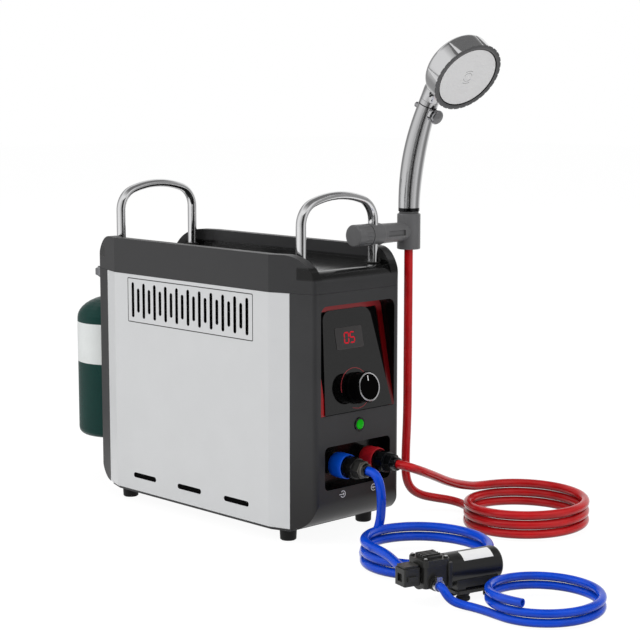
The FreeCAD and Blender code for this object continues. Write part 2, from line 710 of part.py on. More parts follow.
def control_trim():
    """Inverted U strip that lines the recess floor."""
    outer_half = RECESS_HALF_WIDTH - TRIM_MARGIN
    top = RECESS_RISE - 2 * TRIM_MARGIN
    inner_half = outer_half - TRIM_WIDTH
    outline = [(-outer_half, 0.4), (outer_half, 0.4), (outer_half, top), (-outer_half, top)]
    inner_top = top - TRIM_TOP_WIDTH
    hole = [(-inner_half, -5), (inner_half, -5), (inner_half, inner_top), (-inner_half, inner_top)]
    corner = RECESS_CORNER
    strip = prism(outline, [0, 0, corner, corner], 0, TRIM_THICKNESS)
    inside = prism(hole, [0, 0, TRIM_INNER_CORNER, TRIM_INNER_CORNER], -1, TRIM_THICKNESS + 1)
    corners = [0, 0, FASCIA_TOP_CORNER, FASCIA_TOP_CORNER]
    plate = prism(fascia_outline(TRIM_MARGIN), corners, -1, TRIM_THICKNESS + 1)
    return on_panel(strip.cut([inside, plate])).common(recess_space(-TRIM_MARGIN, END_X))


def control_fascia():
    """Raised tapering plate with a pocket for the window and a hole for the shaft."""
    corners = [0, 0, FASCIA_TOP_CORNER, FASCIA_TOP_CORNER]
    plate = prism(fascia_outline(0.0), corners, 0, FASCIA_THICKNESS)
    window = rectangle(WINDOW_SIZE[0] / 2 + WINDOW_FIT, WINDOW_SIZE[1] / 2 + WINDOW_FIT,
                       (CONTROLS_Y, WINDOW_CENTRE_V))
    floor = FASCIA_THICKNESS - WINDOW_POCKET
    pocket = prism(window, WINDOW_CORNER + WINDOW_FIT, floor, FASCIA_THICKNESS + 1)
    below = Vec(CONTROLS_Y, KNOB_CENTRE_V, -1)
    hole = Part.makeCylinder(KNOB_SHAFT_RADIUS + SHAFT_CLEARANCE, FASCIA_THICKNESS + 2, below)
    return on_panel(plate.cut([pocket, hole])).common(recess_space(-TRIM_MARGIN, END_X + 10.0))


def display_window():
    """Smoked window of the temperature display."""
    outline = rectangle(WINDOW_SIZE[0] / 2, WINDOW_SIZE[1] / 2, (CONTROLS_Y, WINDOW_CENTRE_V))
    base = FASCIA_THICKNESS - WINDOW_POCKET
    slab = prism(outline, WINDOW_CORNER, base, base + WINDOW_THICKNESS)
    rim_edges = [edge for edge in slab.Edges if edge.CenterOfMass.z > base + WINDOW_THICKNESS - 0.01]
    return on_panel(slab.makeFillet(0.4, rim_edges))


def temperature_knob():
    """Fluted knob with a bright front ring, on its control shaft."""
    base = FASCIA_THICKNESS + KNOB_GAP
    r = KNOB_RADIUS
    profile = [
        (0, -KNOB_SHAFT_DEPTH), (KNOB_SHAFT_RADIUS, -KNOB_SHAFT_DEPTH), (KNOB_SHAFT_RADIUS, base),
        (r - 0.6, base), (r, base + 0.6), (r, base + 4.0), (r - 1.0, base + 4.8),
        (r - 1.5, base + KNOB_LENGTH - 3.6),
        (r - 0.4, base + KNOB_LENGTH - 3.2), (r - 0.4, base + KNOB_LENGTH - 1.8),
        (r - 2.2, base + KNOB_LENGTH), (r - 3.4, base + KNOB_LENGTH - 0.8), (0, base + KNOB_LENGTH - 0.8),
    ]
    knob = turned(profile, (CONTROLS_Y, KNOB_CENTRE_V, 0), (0, 0, 1))
    flutes = []
    for index in range(KNOB_FLUTES):
        angle = 2 * math.pi * (index + 0.5) / KNOB_FLUTES
        fx = CONTROLS_Y + (r - 0.7) * math.cos(angle)
        fy = KNOB_CENTRE_V + (r - 0.7) * math.sin(angle)
        flutes.append(Part.makeCylinder(0.9, KNOB_LENGTH - 9.5, Vec(fx, fy, base + 5.2)))
    mark_z = base + KNOB_LENGTH - 1.3
    mark = box((CONTROLS_Y - KNOB_MARK_HALF_WIDTH, CONTROLS_Y + KNOB_MARK_HALF_WIDTH),
               (KNOB_CENTRE_V + KNOB_MARK_RISE[0], KNOB_CENTRE_V + KNOB_MARK_RISE[1]), (mark_z, mark_z + 3))
    return on_panel(knob.cut(flutes + [mark]))


def power_bezel():
    """Bright ring pressed into the end face round the power button."""
    bore = BUTTON_RADIUS + MOVING_GAP
    profile = [(bore, -6.0), (BEZEL_NECK, -6.0), (BEZEL_NECK, 0.0), (BEZEL_RADIUS, 0.0),
               (BEZEL_RADIUS, BEZEL_STAND * 0.4), (BEZEL_RADIUS - 0.8, BEZEL_STAND), (bore, BEZEL_STAND)]
    return turned(profile, (END_X, BUTTON_Y, BUTTON_Z), (1, 0, 0))


def power_button():
    """Domed translucent push button."""
    r = BUTTON_RADIUS
    profile = [(0, -7.0), (r, -7.0), (r, BUTTON_STAND - 1.2)]
    for step in range(1, 6):
        angle = math.radians(18 * step)
        profile.append((r * math.cos(angle), BUTTON_STAND - 1.2 + 1.2 * math.sin(angle)))
    profile[-1] = (0, BUTTON_STAND)
    return turned(profile, (END_X, BUTTON_Y, BUTTON_Z), (1, 0, 0))


# ================================================================ water connections
def port_fitting(side):
    """Brass nipple that passes through the recess floor and ends in a socket."""
    floor = END_X - PORT_RECESS_DEPTH
    profile = [
        (0, FLOW_SENSOR_X[1]), (PORT_TAIL_RADIUS, FLOW_SENSOR_X[1]), (PORT_TAIL_RADIUS, floor),
        (PORT_FLANGE_RADIUS, floor),
        (PORT_FLANGE_RADIUS, floor + 4.0), (PORT_BARREL_RADIUS, floor + 4.6),
        (PORT_BARREL_RADIUS, HOSE_NUT_START_X - 1.0), (PORT_BARREL_RADIUS - 1.0, HOSE_NUT_START_X),
        (0, HOSE_NUT_START_X),
    ]
    return turned(profile, (0, side * PORT_Y, PORT_Z), (1, 0, 0))


def port_collar(side):
    """Release collar that slides on the fitting's barrel."""
    bore = PORT_BARREL_RADIUS + MOVING_GAP
    r = COLLAR_RADIUS
    mouth = COLLAR_MOUTH_RADIUS
    profile = [
        (bore, COLLAR_START_X), (r - 1.5, COLLAR_START_X), (r - 0.5, COLLAR_START_X + 1.2),
        (r, COLLAR_START_X + 5.0), (r, COLLAR_END_X - 4.0), (r - 0.3, COLLAR_END_X - 0.8),
        (r - 0.7, COLLAR_END_X), (mouth + 0.3, COLLAR_END_X), (mouth, COLLAR_END_X - 0.6),
        (mouth, COLLAR_END_X - COLLAR_MOUTH_DEPTH), (bore, COLLAR_END_X - COLLAR_MOUTH_DEPTH),
    ]
    return turned(profile, (0, side * PORT_Y, PORT_Z), (1, 0, 0))


def hose_nut(side):
    """Faceted compression nut and tapered sleeve on the end of a hose."""
    start = HOSE_NUT_START_X
    body_start = COLLAR_END_X + SEAM_GAP
    end = HOSE_NUT_END_X
    along_x = (1, 0, 0)
    plug = turned([(0, start), (9.6, start), (9.6, body_start), (0, body_start)], (0, 0, 0), along_x)
    corners = [math.radians(45 * k + 22.5) for k in range(8)]
    facets = [(12.2 * math.cos(angle), 12.2 * math.sin(angle)) for angle in corners]
    body = extruded_x(facets, 0, body_start, end - 15.0)
    flats = extruded_x(hexagon(17.5), 0, end - 15.5, end - 6.0)
    sleeve = turned([(0, end - 6.5), (8.2, end - 6.5), (7.4, end - 1.0), (6.6, end), (0, end)],
                    (0, 0, 0), along_x)
    taper = turned([(0, body_start), (11.2, body_start), (12.0, body_start + 2.0), (11.6, end - 16.0),
                    (9.6, end - 5.0), (0, end - 5.0)], (0, 0, 0), along_x)
    nut = fuse([plug, fuse([body, flats]).common(taper), sleeve])
    nut.translate(Vec(0, side * PORT_Y, PORT_Z))
    return nut


# ================================================================ hoses
def hose_tube(name, route, radius=HOSE_RADIUS):
    """Round tube along straight runs and tangent arcs, with its arc radii printed."""
    points = [Vec(*p) for p in route]
    edges = []
    radii = []
    last = points[0]
    for index in range(1, len(points) - 1):
        here = points[index]
        back = points[index - 1] - here
        ahead = points[index + 1] - here
        reach = 0.45 * min(back.Length, ahead.Length)
        back.normalize()
        ahead.normalize()
        turn = math.pi - back.getAngle(ahead)
        arc_radius = reach / math.tan(turn / 2)
        middle_dir = (back + ahead).normalize()
        centre_distance = math.hypot(arc_radius, reach)
        middle = here + middle_dir * (centre_distance - arc_radius)
        start = here + back * reach
        end = here + ahead * reach
        edges.append(Part.LineSegment(last, start).toShape())
        edges.append(Part.Arc(start, middle, end).toShape())
        radii.append(round(arc_radius, 1))
        last = end
    edges.append(Part.LineSegment(last, points[-1]).toShape())
    path = Part.Wire(edges)
    heading = (points[1] - points[0]).normalize()
    ring = Part.Wire([Part.Circle(points[0], heading, radius).toShape()])
    tube = path.makePipeShell([ring], True, False)
    ratio = tube.Volume / (path.Length * math.pi * radius ** 2)
    print(f"{name}: length {path.Length:.1f} mm, arc radii {radii}, volume ratio {ratio:.4f}")
    add(name, tube)


def hose_coil(centre, radius, height, hose=HOSE_RADIUS):
    """Closed ring of the outer shape of one coil of hose."""
    base = Vec(centre[0], centre[1], 0)
    outer = Part.makeCylinder(radius + hose, height, base)
    ring = outer.cut(Part.makeCylinder(radius - hose, height, base))
    circles = [edge for edge in ring.Edges if len(edge.Vertexes) == 1]
    return ring.makeFillet(hose * 0.85, circles)


# ================================================================ gas side
def gas_cylinder():
    """Steel bottle wall with a domed shoulder and an open neck."""
    def outline(inset):
        r = CYLINDER_RADIUS - inset
        low = CYLINDER_BOTTOM + inset
        corner = CYLINDER_FOOT_CORNER - inset
        neck = NECK_RADIUS - 2.0 - inset
        points = []
        for step in range(5):
            angle = math.radians(-90 + 22.5 * step)
            points.append((r - corner + corner * math.cos(angle), low + corner + corner * math.sin(angle)))
        dome = CYLINDER_DOME_HEIGHT - inset
        for step in range(9):
            angle = math.radians(9.5 * step)
            points.append((r * math.cos(angle), CYLINDER_SHOULDER + dome * math.sin(angle)))
        points.append((neck, CYLINDER_SHOULDER + dome))
        return points
    top = CYLINDER_SHOULDER + CYLINDER_DOME_HEIGHT
    shells = []
    for inset in (0.0, CYLINDER_WALL):
        dish = [(0, CYLINDER_BOTTOM + 3.0 + inset), (CYLINDER_RADIUS * 0.6, CYLINDER_BOTTOM + inset)]
        profile = dish + outline(inset) + [(0, top - inset)]
        shells.append(turned(profile, (CYLINDER_X, 0, 0), (0, 0, 1)))
    neck_hole = Part.makeCylinder(6.0, 30, Vec(CYLINDER_X, 0, top - 10))
    return shells[0].cut([shells[1], neck_hole])


def cylinder_valve():
    """Threaded neck and valve on top of the bottle."""
    base = CYLINDER_SHOULDER + CYLINDER_DOME_HEIGHT
    profile = [(0, base), (NECK_RADIUS + 1.3, base), (NECK_RADIUS + 1.3, base + 1.6)]
    z = base + 2.2
    while z < NECK_TOP - 2.2:
        profile += [(NECK_RADIUS - 0.7, z), (NECK_RADIUS, z + 0.65)]
        z += 1.3
    profile += [(NECK_RADIUS - 0.7, NECK_TOP - 1.0), (NECK_RADIUS - 1.2, NECK_TOP), (5.0, NECK_TOP),
                (4.0, NECK_TOP - 2.0), (0, NECK_TOP - 2.0)]
    return turned(profile, (CYLINDER_X, 0, 0), (0, 0, 1))


def regulator():
    """Regulator with a socket for the cylinder and an outlet to the rear wall."""
    low = CYLINDER_SHOULDER + CYLINDER_DOME_HEIGHT + 2.2
    disc = REGULATOR_DISC_RADIUS
    z0, z1 = REGULATOR_DISC_Z
    socket = NECK_RADIUS + MOVING_GAP
    profile = [
        (socket, low), (17.0, low), (17.5, low + 0.8), (17.5, NECK_TOP), (REGULATOR_WAIST, GAS_PORT_Z),
        (REGULATOR_WAIST, z0 - 3.0),
        (disc - 2.0, z0), (disc, z0 + 1.0), (disc, z1 - 1.0), (disc - 1.5, z1), (disc - 5.0, z1 + 0.6),
        (disc - 9.0, REGULATOR_TOP - 1.0), (disc - 14.0, REGULATOR_TOP), (0, REGULATOR_TOP),
        (0, NECK_TOP + MOVING_GAP), (socket, NECK_TOP + MOVING_GAP),
    ]
    body = turned(profile, (CYLINDER_X, 0, 0), (0, 0, 1))
    outlet = rod(7.5, (CYLINDER_X + REGULATOR_WAIST - 1.0, 0, GAS_PORT_Z), (-END_X - 6.0, 0, GAS_PORT_Z))
    lock_nut = extruded_x(hexagon(19.0), 0, -END_X - 6.5, -END_X)
    lock_nut.translate(Vec(0, 0, GAS_PORT_Z))
    bolts = []
    for index in range(6):
        angle = math.radians(60 * index + 30)
        place = (CYLINDER_X + (disc - 3.0) * math.cos(angle), (disc - 3.0) * math.sin(angle))
        bolts.append(Part.makeCylinder(1.8, 1.6, Vec(place[0], place[1], z1 - 0.3)))
    return fuse([body, outlet, lock_nut] + bolts)


# ================================================================ inner works
def combustion_chamber():
    """Open sheet box round the flame."""
    hx, hy = CHAMBER_HALF
    wall = DUCT_SHEET
    lip = CHAMBER_FLANGE
    outer = box((-hx, hx), (-hy, hy), CHAMBER_Z)
    inner = box((-hx + wall, hx - wall), (-hy + wall, hy - wall), (CHAMBER_Z[0] - 1, CHAMBER_Z[1] + 1))
    flange = box((-hx - lip, hx + lip), (-hy - lip, hy + lip), (CHAMBER_Z[0], CHAMBER_Z[0] + 1.5))
    spark_z = CHAMBER_Z[0] + IGNITER_RISE
    hole = rod(IGNITER_RADIUS + SEAM_GAP, (hx - 5, 0, spark_z), (hx + 5, 0, spark_z))
    return fuse([outer, flange]).cut([inner, hole])


def heat_exchanger():
    """Water channels across the hot gas, with a stack of fins."""
    hx, hy = CHAMBER_HALF
    low, high = EXCHANGER_Z
    frame = box((-hx, hx), (-hy, hy), (low, high)).cut(
        box((-hx + 2, hx - 2), (-hy + 2, hy - 2), (low - 1, high + 1)))
    pieces = [frame]
    middle = (low + high) / 2
    for index in range(4):
        y = -hy + hy * (2 * index + 1) / 4
        pieces.append(box((-hx + 1, hx - 1), (y - 4, y + 4), (middle - 6, middle + 6)))
    for index in range(16):
        x = -hx + 2 * hx * (index + 1) / 17
        pieces.append(box((x - 0.5, x + 0.5), (-hy + 1, hy - 1), (low + 3, high - 3)))
    return fuse(pieces)


def exhaust_hood():
    """Duct that turns the flue gas towards the vented side."""
    hx, hy = CHAMBER_HALF
    wall = DUCT_SHEET
    reach = hx + HOOD_OVERHANG
    front_y = -SIDE_Y + PANEL_SHEET + GRILLE_DEPTH + SEAM_GAP
    outer = box((-reach, reach), (front_y, hy), HOOD_Z)
    inner = box((-reach + wall, reach - wall), (front_y - 1, hy - wall),
                (HOOD_Z[0] + wall, HOOD_Z[1] - wall))
    throat = box((-hx + 2, hx - 2), (-hy + 2, hy - 2), (HOOD_Z[0] - 1, HOOD_Z[0] + 5))
    return outer.cut([inner, throat])


def burner():
    """Slotted burner bars on a common manifold."""
    hx, hy = CHAMBER_HALF
    pieces = [box((-hx + 4, hx - 4), (-hy + 6, -hy + 20), (BURNER_Z[0] - 8, BURNER_Z[0] + 6))]
    pitch = 2 * (hx - 10) / BURNER_BARS
    for index in range(BURNER_BARS):
        x = -hx + 10 + pitch * (index + 0.5)
        bar = box((x - 4.5, x + 4.5), (-hy + 5, hy - 6), (BURNER_Z[0], BURNER_Z[1]))
        slot = box((x - 1.2, x + 1.2), (-hy + 9, hy - 10), (BURNER_Z[1] - 4, BURNER_Z[1] + 1))
        pieces.append(bar.cut(slot))
    lip = CHAMBER_FLANGE
    tray = box((-hx - lip, hx + lip), (-hy - lip, hy + lip), (BURNER_Z[1] + 2.5, CHAMBER_Z[0]))
    window = box((-hx + 3, hx - 3), (-hy + 3, hy - 3), (BURNER_Z[1] - 5, CHAMBER_Z[0] + 1))
    tray = tray.cut(window)
    posts = [box((x - 3, x + 3), (-hy + 1, -hy + 6), (BURNER_Z[0], CHAMBER_Z[0])) for x in (-hx + 7, hx - 7)]
    legs = []
    for x in (-hx - 0.5, hx + 0.5):
        for y in (-hy + 1, hy - 1):
            legs.append(rod(4.0, (x, y, FOOT_HEIGHT + BASE_SHEET), (x, y, BURNER_Z[1] + 4)))
    return fuse(pieces + [tray] + posts + legs)


def igniter():
    """Ceramic spark electrode through the chamber's side wall."""
    hx = CHAMBER_HALF[0]
    z = CHAMBER_Z[0] + IGNITER_RISE
    r = IGNITER_RADIUS
    body = turned([(0, 0), (r, 0), (r, 14.3), (r + 1.8, 14.3), (r + 1.8, 24), (0, 24)],
                  (hx - 14, 0, z), (1, 0, 0))
    tip = rod(0.9, (hx - 22, 0, z - 2.5), (hx - 13, 0, z))
    return fuse([body, tip])


def gas_valve():
    """Solenoid gas valve between the pipe and the burner manifold."""
    x0, x1 = GAS_VALVE_X
    middle = (x0 + x1) / 2
    y = -CHAMBER_HALF[1] + MANIFOLD_INSET
    low = BURNER_Z[0]
    body = box(GAS_VALVE_X, (y - 11, y + 11), (low - 14, low + 12))
    coil = Part.makeCylinder(10.5, SOLENOID_HEIGHT, Vec(middle, y, low + 12))
    cap = Part.makeCylinder(8.0, 4, Vec(middle, y, low + 12 + SOLENOID_HEIGHT))
    link = rod(4.5, (x1 - 1, y, low - 1), (-CHAMBER_HALF[0] + 4, y, low - 1))
    foot = box((x0 + 6, x1 - 6), (y - 7, y + 7), (FOOT_HEIGHT + BASE_SHEET, low - 13))
    return fuse([body, coil, cap, link, foot])


def bent_pipe(points, radius, bend):
    """Rigid metal pipe with equal bends at its corners."""
    points = [Vec(*p) for p in points]
    edges = []
    last = points[0]
    for index in range(1, len(points) - 1):
        here = points[index]
        back = (points[index - 1] - here).normalize()
        ahead = (points[index + 1] - here).normalize()
        half = back.getAngle(ahead) / 2
        reach = bend / math.tan(half)
        middle = here + (back + ahead).normalize() * (bend / math.sin(half) - bend)
        edges.append(Part.LineSegment(last, here + back * reach).toShape())
        edges.append(Part.Arc(here + back * reach, middle, here + ahead * reach).toShape())
        last = here + ahead * reach
    edges.append(Part.LineSegment(last, points[-1]).toShape())
    path = Part.Wire(edges)
    heading = (points[1] - points[0]).normalize()
    ring = Part.Wire([Part.Circle(points[0], heading, radius).toShape()])
    return path.makePipeShell([ring], True, False)


def water_pipes():
    """Cold feed up to the exchanger and hot return down to the outlet."""
    z = (EXCHANGER_Z[0] + EXCHANGER_Z[1]) / 2
    pipes = []
    for start_x, y in ((FLOW_SENSOR_X[0], -PORT_Y), (FLOW_SENSOR_X[1], PORT_Y)):
        route = [(start_x, y, PORT_Z), (PIPE_X, y, PORT_Z), (PIPE_X, y, z), (CHAMBER_HALF[0], y, z)]
        pipes.append(bent_pipe(route, WATER_PIPE_RADIUS, WATER_PIPE_BEND))
    return pipes


def flow_sensor():
    """Turbine flow sensor in the cold inlet."""
    x0, x1 = FLOW_SENSOR_X
    body = rod(11.0, (x0 + 4, -PORT_Y, PORT_Z), (x1 - 4, -PORT_Y, PORT_Z))
    ends = rod(7.5, (x0, -PORT_Y, PORT_Z), (x1, -PORT_Y, PORT_Z))
    cap = box((x0 + 8, x1 - 8), (-PORT_Y - 7, -PORT_Y + 7), (PORT_Z + 5, PORT_Z + 16))
    return fuse([body, ends, cap])


def gas_pipe():
    """Gas pipe from the regulator's outlet down to the valve."""
    y = -CHAMBER_HALF[1] + MANIFOLD_INSET
    inner_x = -PANEL_END_X + 8
    z = BURNER_Z[0] - 1
    high, low = GAS_PIPE_JOGS
    points = [(-END_X, 0, GAS_PORT_Z), (inner_x, 0, GAS_PORT_Z), (inner_x, 0, z + high),
              (inner_x, y, z + low), (inner_x, y, z), (GAS_VALVE_X[0], y, z)]
    return bent_pipe(points, GAS_PIPE_RADIUS, GAS_PIPE_BEND)


def control_board():
    """Circuit board behind the control panel, with the knob's encoder on it."""
    back = -RECESS_WALL
    front = back - BOARD_SETBACK
    seat = front - 0.2
    board = prism(rectangle(32, 48, (CONTROLS_Y, 58)), 1.0, front - BOARD_THICKNESS, front)
    encoder_top = -KNOB_SHAFT_DEPTH - MOVING_GAP
    encoder = prism(rectangle(8, 8, (CONTROLS_Y, KNOB_CENTRE_V)), 0.8, seat, encoder_top)
    display = prism(rectangle(18, 10, (CONTROLS_Y, WINDOW_CENTRE_V)), 0.8, seat, back - 3.0)
    pieces = [board, encoder, display]
    for side in (-1, 1):
        for v in (18, 98):
            post = Part.makeCylinder(2.5, BOARD_SETBACK + 0.1, Vec(CONTROLS_Y + side * 27, v, front - 0.1))
            pieces.append(post)
    for u, v in ((-16, 50), (14, 56), (2, 100)):
        pieces.append(prism(rectangle(5, 5, (CONTROLS_Y + u, v)), 0, seat, seat + 2.0))
    return on_panel(fuse(pieces))


def battery_box():
    """Holder for two large cells on the base pan."""
    low = FOOT_HEIGHT + BASE_SHEET
    x = BATTERY_X
    y0, y1 = BATTERY_Y
    middle = (y0 + y1) / 2
    outer = box((-x, x), BATTERY_Y, (low, low + BATTERY_HEIGHT))
    inner = box((-x + 2, x - 2), (y0 + 2, y1 - 2), (low + 2, low + BATTERY_HEIGHT + 4))
    shell = outer.cut(inner)
    cell = rod(CELL_RADIUS, (-x + 4, middle, low + 14), (x - 5, middle, low + 14))
    return fuse([shell, cell])


# ================================================================ shower holder
def clamp_sleeve():
    """Arm that grips the handle's leg and carries the cradle."""
    start = CLAMP_KNOB_Y[1] + MOVING_GAP
    x, z = HANDLE_FRONT_X, HOLDER_Z
    r = CLAMP_KNOB_RADIUS
    end = CRADLE_Y - 8.0
    profile = [(0, start), (r, start), (r, CLAMP_BAND_END_Y), (r - 0.8, CLAMP_BAND_END_Y + 1.0),
               (CLAMP_ARM_RADIUS, CLAMP_BAND_END_Y + 4.0), (CLAMP_ARM_RADIUS - 0.6, end), (0, end)]
    arm = turned(profile, (x, 0, z), (0, 1, 0))
    waist = []
    for side in (-1, 1):
        span = (x + side * 8.2, x + side * 20)
        waist.append(box(span, (CLAMP_BAND_END_Y + 6, end - 8), (z - 3.2, z + 3.2)))
    leg_section = ellipse_face((x, HANDLE_LEG_Y, z - CRADLE_HALF), (0, 0, 1), (1, 0, 0),
                               HANDLE_SECTION[0] / 2 + SHAFT_CLEARANCE,
                               HANDLE_SECTION[1] / 2 + SHAFT_CLEARANCE)
    leg = leg_section.extrude(Vec(0, 0, 2 * CRADLE_HALF))
    screw = rod(3.0 + SHAFT_CLEARANCE, (x, start - 1, z), (x, HANDLE_LEG_Y, z))
    cradle = Part.makeCylinder(CRADLE_RADIUS, 2 * CRADLE_HALF, Vec(x, CRADLE_Y, z - CRADLE_HALF))
    return arm.cut(waist + [leg, screw, cradle])


def clamp_knob():
    """Ribbed knob that tightens the holder on the leg."""
    low, high = CLAMP_KNOB_Y
    r = CLAMP_KNOB_RADIUS
    profile = [(0, low), (r - 1.2, low), (r, low + 1.2), (r, low + 11.0), (r - 0.7, low + 11.4),
               (r - 0.7, high), (3.0, high), (3.0, high + 3.2), (0, high + 3.2)]
    knob = turned(profile, (HANDLE_FRONT_X, 0, HOLDER_Z), (0, 1, 0))
    ribs = []
    for index in range(18):
        angle = 2 * math.pi * index / 18
        cx = HANDLE_FRONT_X + (r - 0.9) * math.cos(angle)
        cz = HOLDER_Z + (r - 0.9) * math.sin(angle)
        ribs.append(rod(0.75, (cx, low + 11.2, cz), (cx, high - 0.6, cz)))
    return fuse([knob] + ribs)


def shower_cradle():
    """Upright sleeve that holds the handset's hose cone, slotted for the hose."""
    low, high = CRADLE_Z
    x = HANDLE_FRONT_X
    profile = [(CRADLE_BORE, low), (CRADLE_RADIUS - 0.6, low), (CRADLE_RADIUS, low + 0.8),
               (CRADLE_RADIUS, high - 0.8), (CRADLE_RADIUS - 0.6, high), (CRADLE_BORE, high)]
    sleeve = turned(profile, (x, CRADLE_Y, 0), (0, 0, 1))
    slot = box((x - CRADLE_SLOT / 2, x + CRADLE_SLOT / 2), (CRADLE_Y + 5, CRADLE_Y + 20),
               (low - 1, high + 1))
    return sleeve.cut(slot)


def hose_cone():
    """Swivel cone on the hose end, seated in the cradle."""
    low = CRADLE_Z[0] + 0.6
    high = HANDSET_BOTTOM - MOVING_GAP
    r = CONE_RADIUS
    seat = CRADLE_Z[1]
    bore = SPIGOT_RADIUS + SHAFT_CLEARANCE
    bottom = high - SPIGOT_LENGTH - MOVING_GAP
    profile = [(0, low), (r - 1.8, low), (r - 0.8, low + 2.0), (r, low + 10.0), (r, seat), (r + 1.3, seat),
               (r + 1.3, high - 0.4), (r + 0.9, high), (bore, high), (bore, bottom), (0, bottom)]
    return turned(profile, (HANDLE_FRONT_X, CRADLE_Y, 0), (0, 0, 1))


# ================================================================ handset
def handle_frame(angle):
    """Point and tangent of the handset's curved centre line."""
    turn = math.radians(angle)
    x = HANDLE_FRONT_X + HANDLE_BEND_RADIUS * (1 - math.cos(turn))
    z = HANDSET_BOTTOM + HANDLE_BEND_RADIUS * math.sin(turn)
    return Vec(x, CRADLE_Y, z), Vec(math.sin(turn), 0, math.cos(turn))


def circle_wire(centre, normal, radius):
    """Circular wire square to a direction."""
    return Part.Wire([Part.Circle(centre, normal, radius).toShape()])


def stop_axis():
    """Centre and outward direction of the stop button across the handle."""
    centre, tangent = handle_frame(STOP_ANGLE)
    return centre, Vec(tangent.z, 0, -tangent.x)


def shower_handle():
    """Curved chrome grip with a swivel spigot at its foot."""
    rings = []
    for angle, radius in HANDLE_SIZES:
        centre, tangent = handle_frame(angle)
        rings.append(circle_wire(centre, tangent, radius))
    grip = Part.makeLoft(rings, True)
    spigot = rod(SPIGOT_RADIUS, (HANDLE_FRONT_X, CRADLE_Y, HANDSET_BOTTOM - SPIGOT_LENGTH),
                 (HANDLE_FRONT_X, CRADLE_Y, HANDSET_BOTTOM + 2))
    centre, out = stop_axis()
    collar = Part.makeCylinder(7.0, 3.4, centre + out * (STOP_COLLAR_TOP - 3.4), out)
    bore = Part.makeCylinder(STEM_RADIUS + SHAFT_CLEARANCE, 2 * STOP_TAIL, centre - out * STOP_TAIL, out)
    core = []
    for angle, radius in HANDLE_SIZES[:-1]:
        point, tangent = handle_frame(angle + 1.2)
        core.append(circle_wire(point, tangent, radius - HANDLE_BORE_WALL))
    return fuse([grip, spigot, collar]).cut([Part.makeLoft(core, True), bore])


def head_axes():
    """Direction the spray face looks along, and the direction up its face."""
    tilt = math.radians(HEAD_TILT)
    return Vec(math.cos(tilt), 0, -math.sin(tilt)), Vec(math.sin(tilt), 0, math.cos(tilt))


def head_point(depth, rise):
    """Point at a depth behind the face and a rise up the face from its centre."""
    out, up = head_axes()
    end, tangent = handle_frame(HANDLE_BEND_ANGLE)
    centre = end + Vec(HEAD_REACH[0], 0, HEAD_REACH[1])
    return centre - out * depth + up * rise


def shower_head():
    """Chrome drum with a domed back, joined to the grip by a swelling neck."""
    out, up = head_axes()
    rim = HEAD_RIM_DEPTH + 0.2
    r = HEAD_DRUM_RADIUS
    outer = [(0, rim), (r, rim), (r, rim + 4), (r - 0.8, rim + 8.5), (r - 3.0, rim + 12.5),
             (r - 7.5, rim + 15.6), (r - 15.0, rim + 18.0), (r - 26.0, HEAD_DEPTH - 0.8), (0, HEAD_DEPTH)]
    inner = [(0, rim - 1), (r - HEAD_WALL, rim - 1), (r - HEAD_WALL, rim + 4), (r - 5.2, rim + 10.5),
             (r - 9.5, rim + 13.2), (r - 26.0, rim + 16.4), (0, HEAD_DEPTH - HEAD_WALL)]
    face = head_point(0, 0)
    back = (-out.x, 0, -out.z)
    drum = turned(outer, (face.x, face.y, face.z), back)
    start, start_dir = handle_frame(HANDLE_BEND_ANGLE)
    stations = [(start + start_dir * 0.2, start_dir, HANDLE_SIZES[-1][1]),
                (start + start_dir * 3.0, start_dir, HANDLE_SIZES[-1][1])]
    stations.append((head_point(29.0, -31.0), Vec(0.68, 0, 0.73), 12.2))
    stations.append((head_point(23.0, -22.5), Vec(0.86, 0, 0.51), 15.0))
    stations.append((head_point(17.0, -15.0), Vec(0.93, 0, 0.37), 16.0))
    neck = Part.makeLoft([circle_wire(p, d, q) for p, d, q in stations], True)
    cavity = turned(inner, (face.x, face.y, face.z), back)
    bore = Part.makeLoft([circle_wire(p - d * 1.5, d, 6.0) for p, d, q in stations[1:]], True)
    grooves = []
    for angle in (38, 68, 98, 128, 158, 188, 218, 248, 278, 308, 338, 8):
        turn = math.radians(angle)
        side = up * math.cos(turn) + Vec(0, 1, 0) * math.sin(turn)
        foot = face - out * (rim + 1.0) + side * (r + 1.0)
        grooves.append(Part.makeCone(0.6, 2.4, 15.0, foot, -out - side * 0.02))
    front = Part.makeCylinder(HEAD_RIM_RADIUS + 20, rim + 20, face + out * 20, -out)
    return fuse([drum, neck]).cut([cavity, bore, front] + grooves)


def shower_rim():
    """Notched ring round the spray face."""
    out, up = head_axes()
    face = head_point(0, 0)
    inner = SPRAY_RADIUS + 0.15
    r = HEAD_RIM_RADIUS
    profile = [(inner, 0.6), (inner + 1.2, 0), (r - 1.2, 0), (r, 1.2), (r, HEAD_RIM_DEPTH - 0.6),
               (r - 0.8, HEAD_RIM_DEPTH), (inner, HEAD_RIM_DEPTH)]
    ring = turned(profile, (face.x, face.y, face.z), (-out.x, 0, -out.z))
    notches = []
    for index in range(RIM_NOTCHES):
        turn = 2 * math.pi * index / RIM_NOTCHES
        side = up * math.cos(turn) + Vec(0, 1, 0) * math.sin(turn)
        foot = face + out * 1.0 + side * (r + 0.5)
        notches.append(Part.makeCylinder(1.1, HEAD_RIM_DEPTH + 2, foot, -out))
    return ring.cut(notches)


def spray_face():
    """Flat plate that carries the spray holes."""
    out, up = head_axes()
    face = head_point(0, 0)
    r = SPRAY_RADIUS
    profile = [(0, 1.2), (3.0, 1.2), (3.4, 0.9), (r - 2.0, 0.9), (r, 1.8), (r, HEAD_RIM_DEPTH),
               (0, HEAD_RIM_DEPTH)]
    return turned(profile, (face.x, face.y, face.z), (-out.x, 0, -out.z))


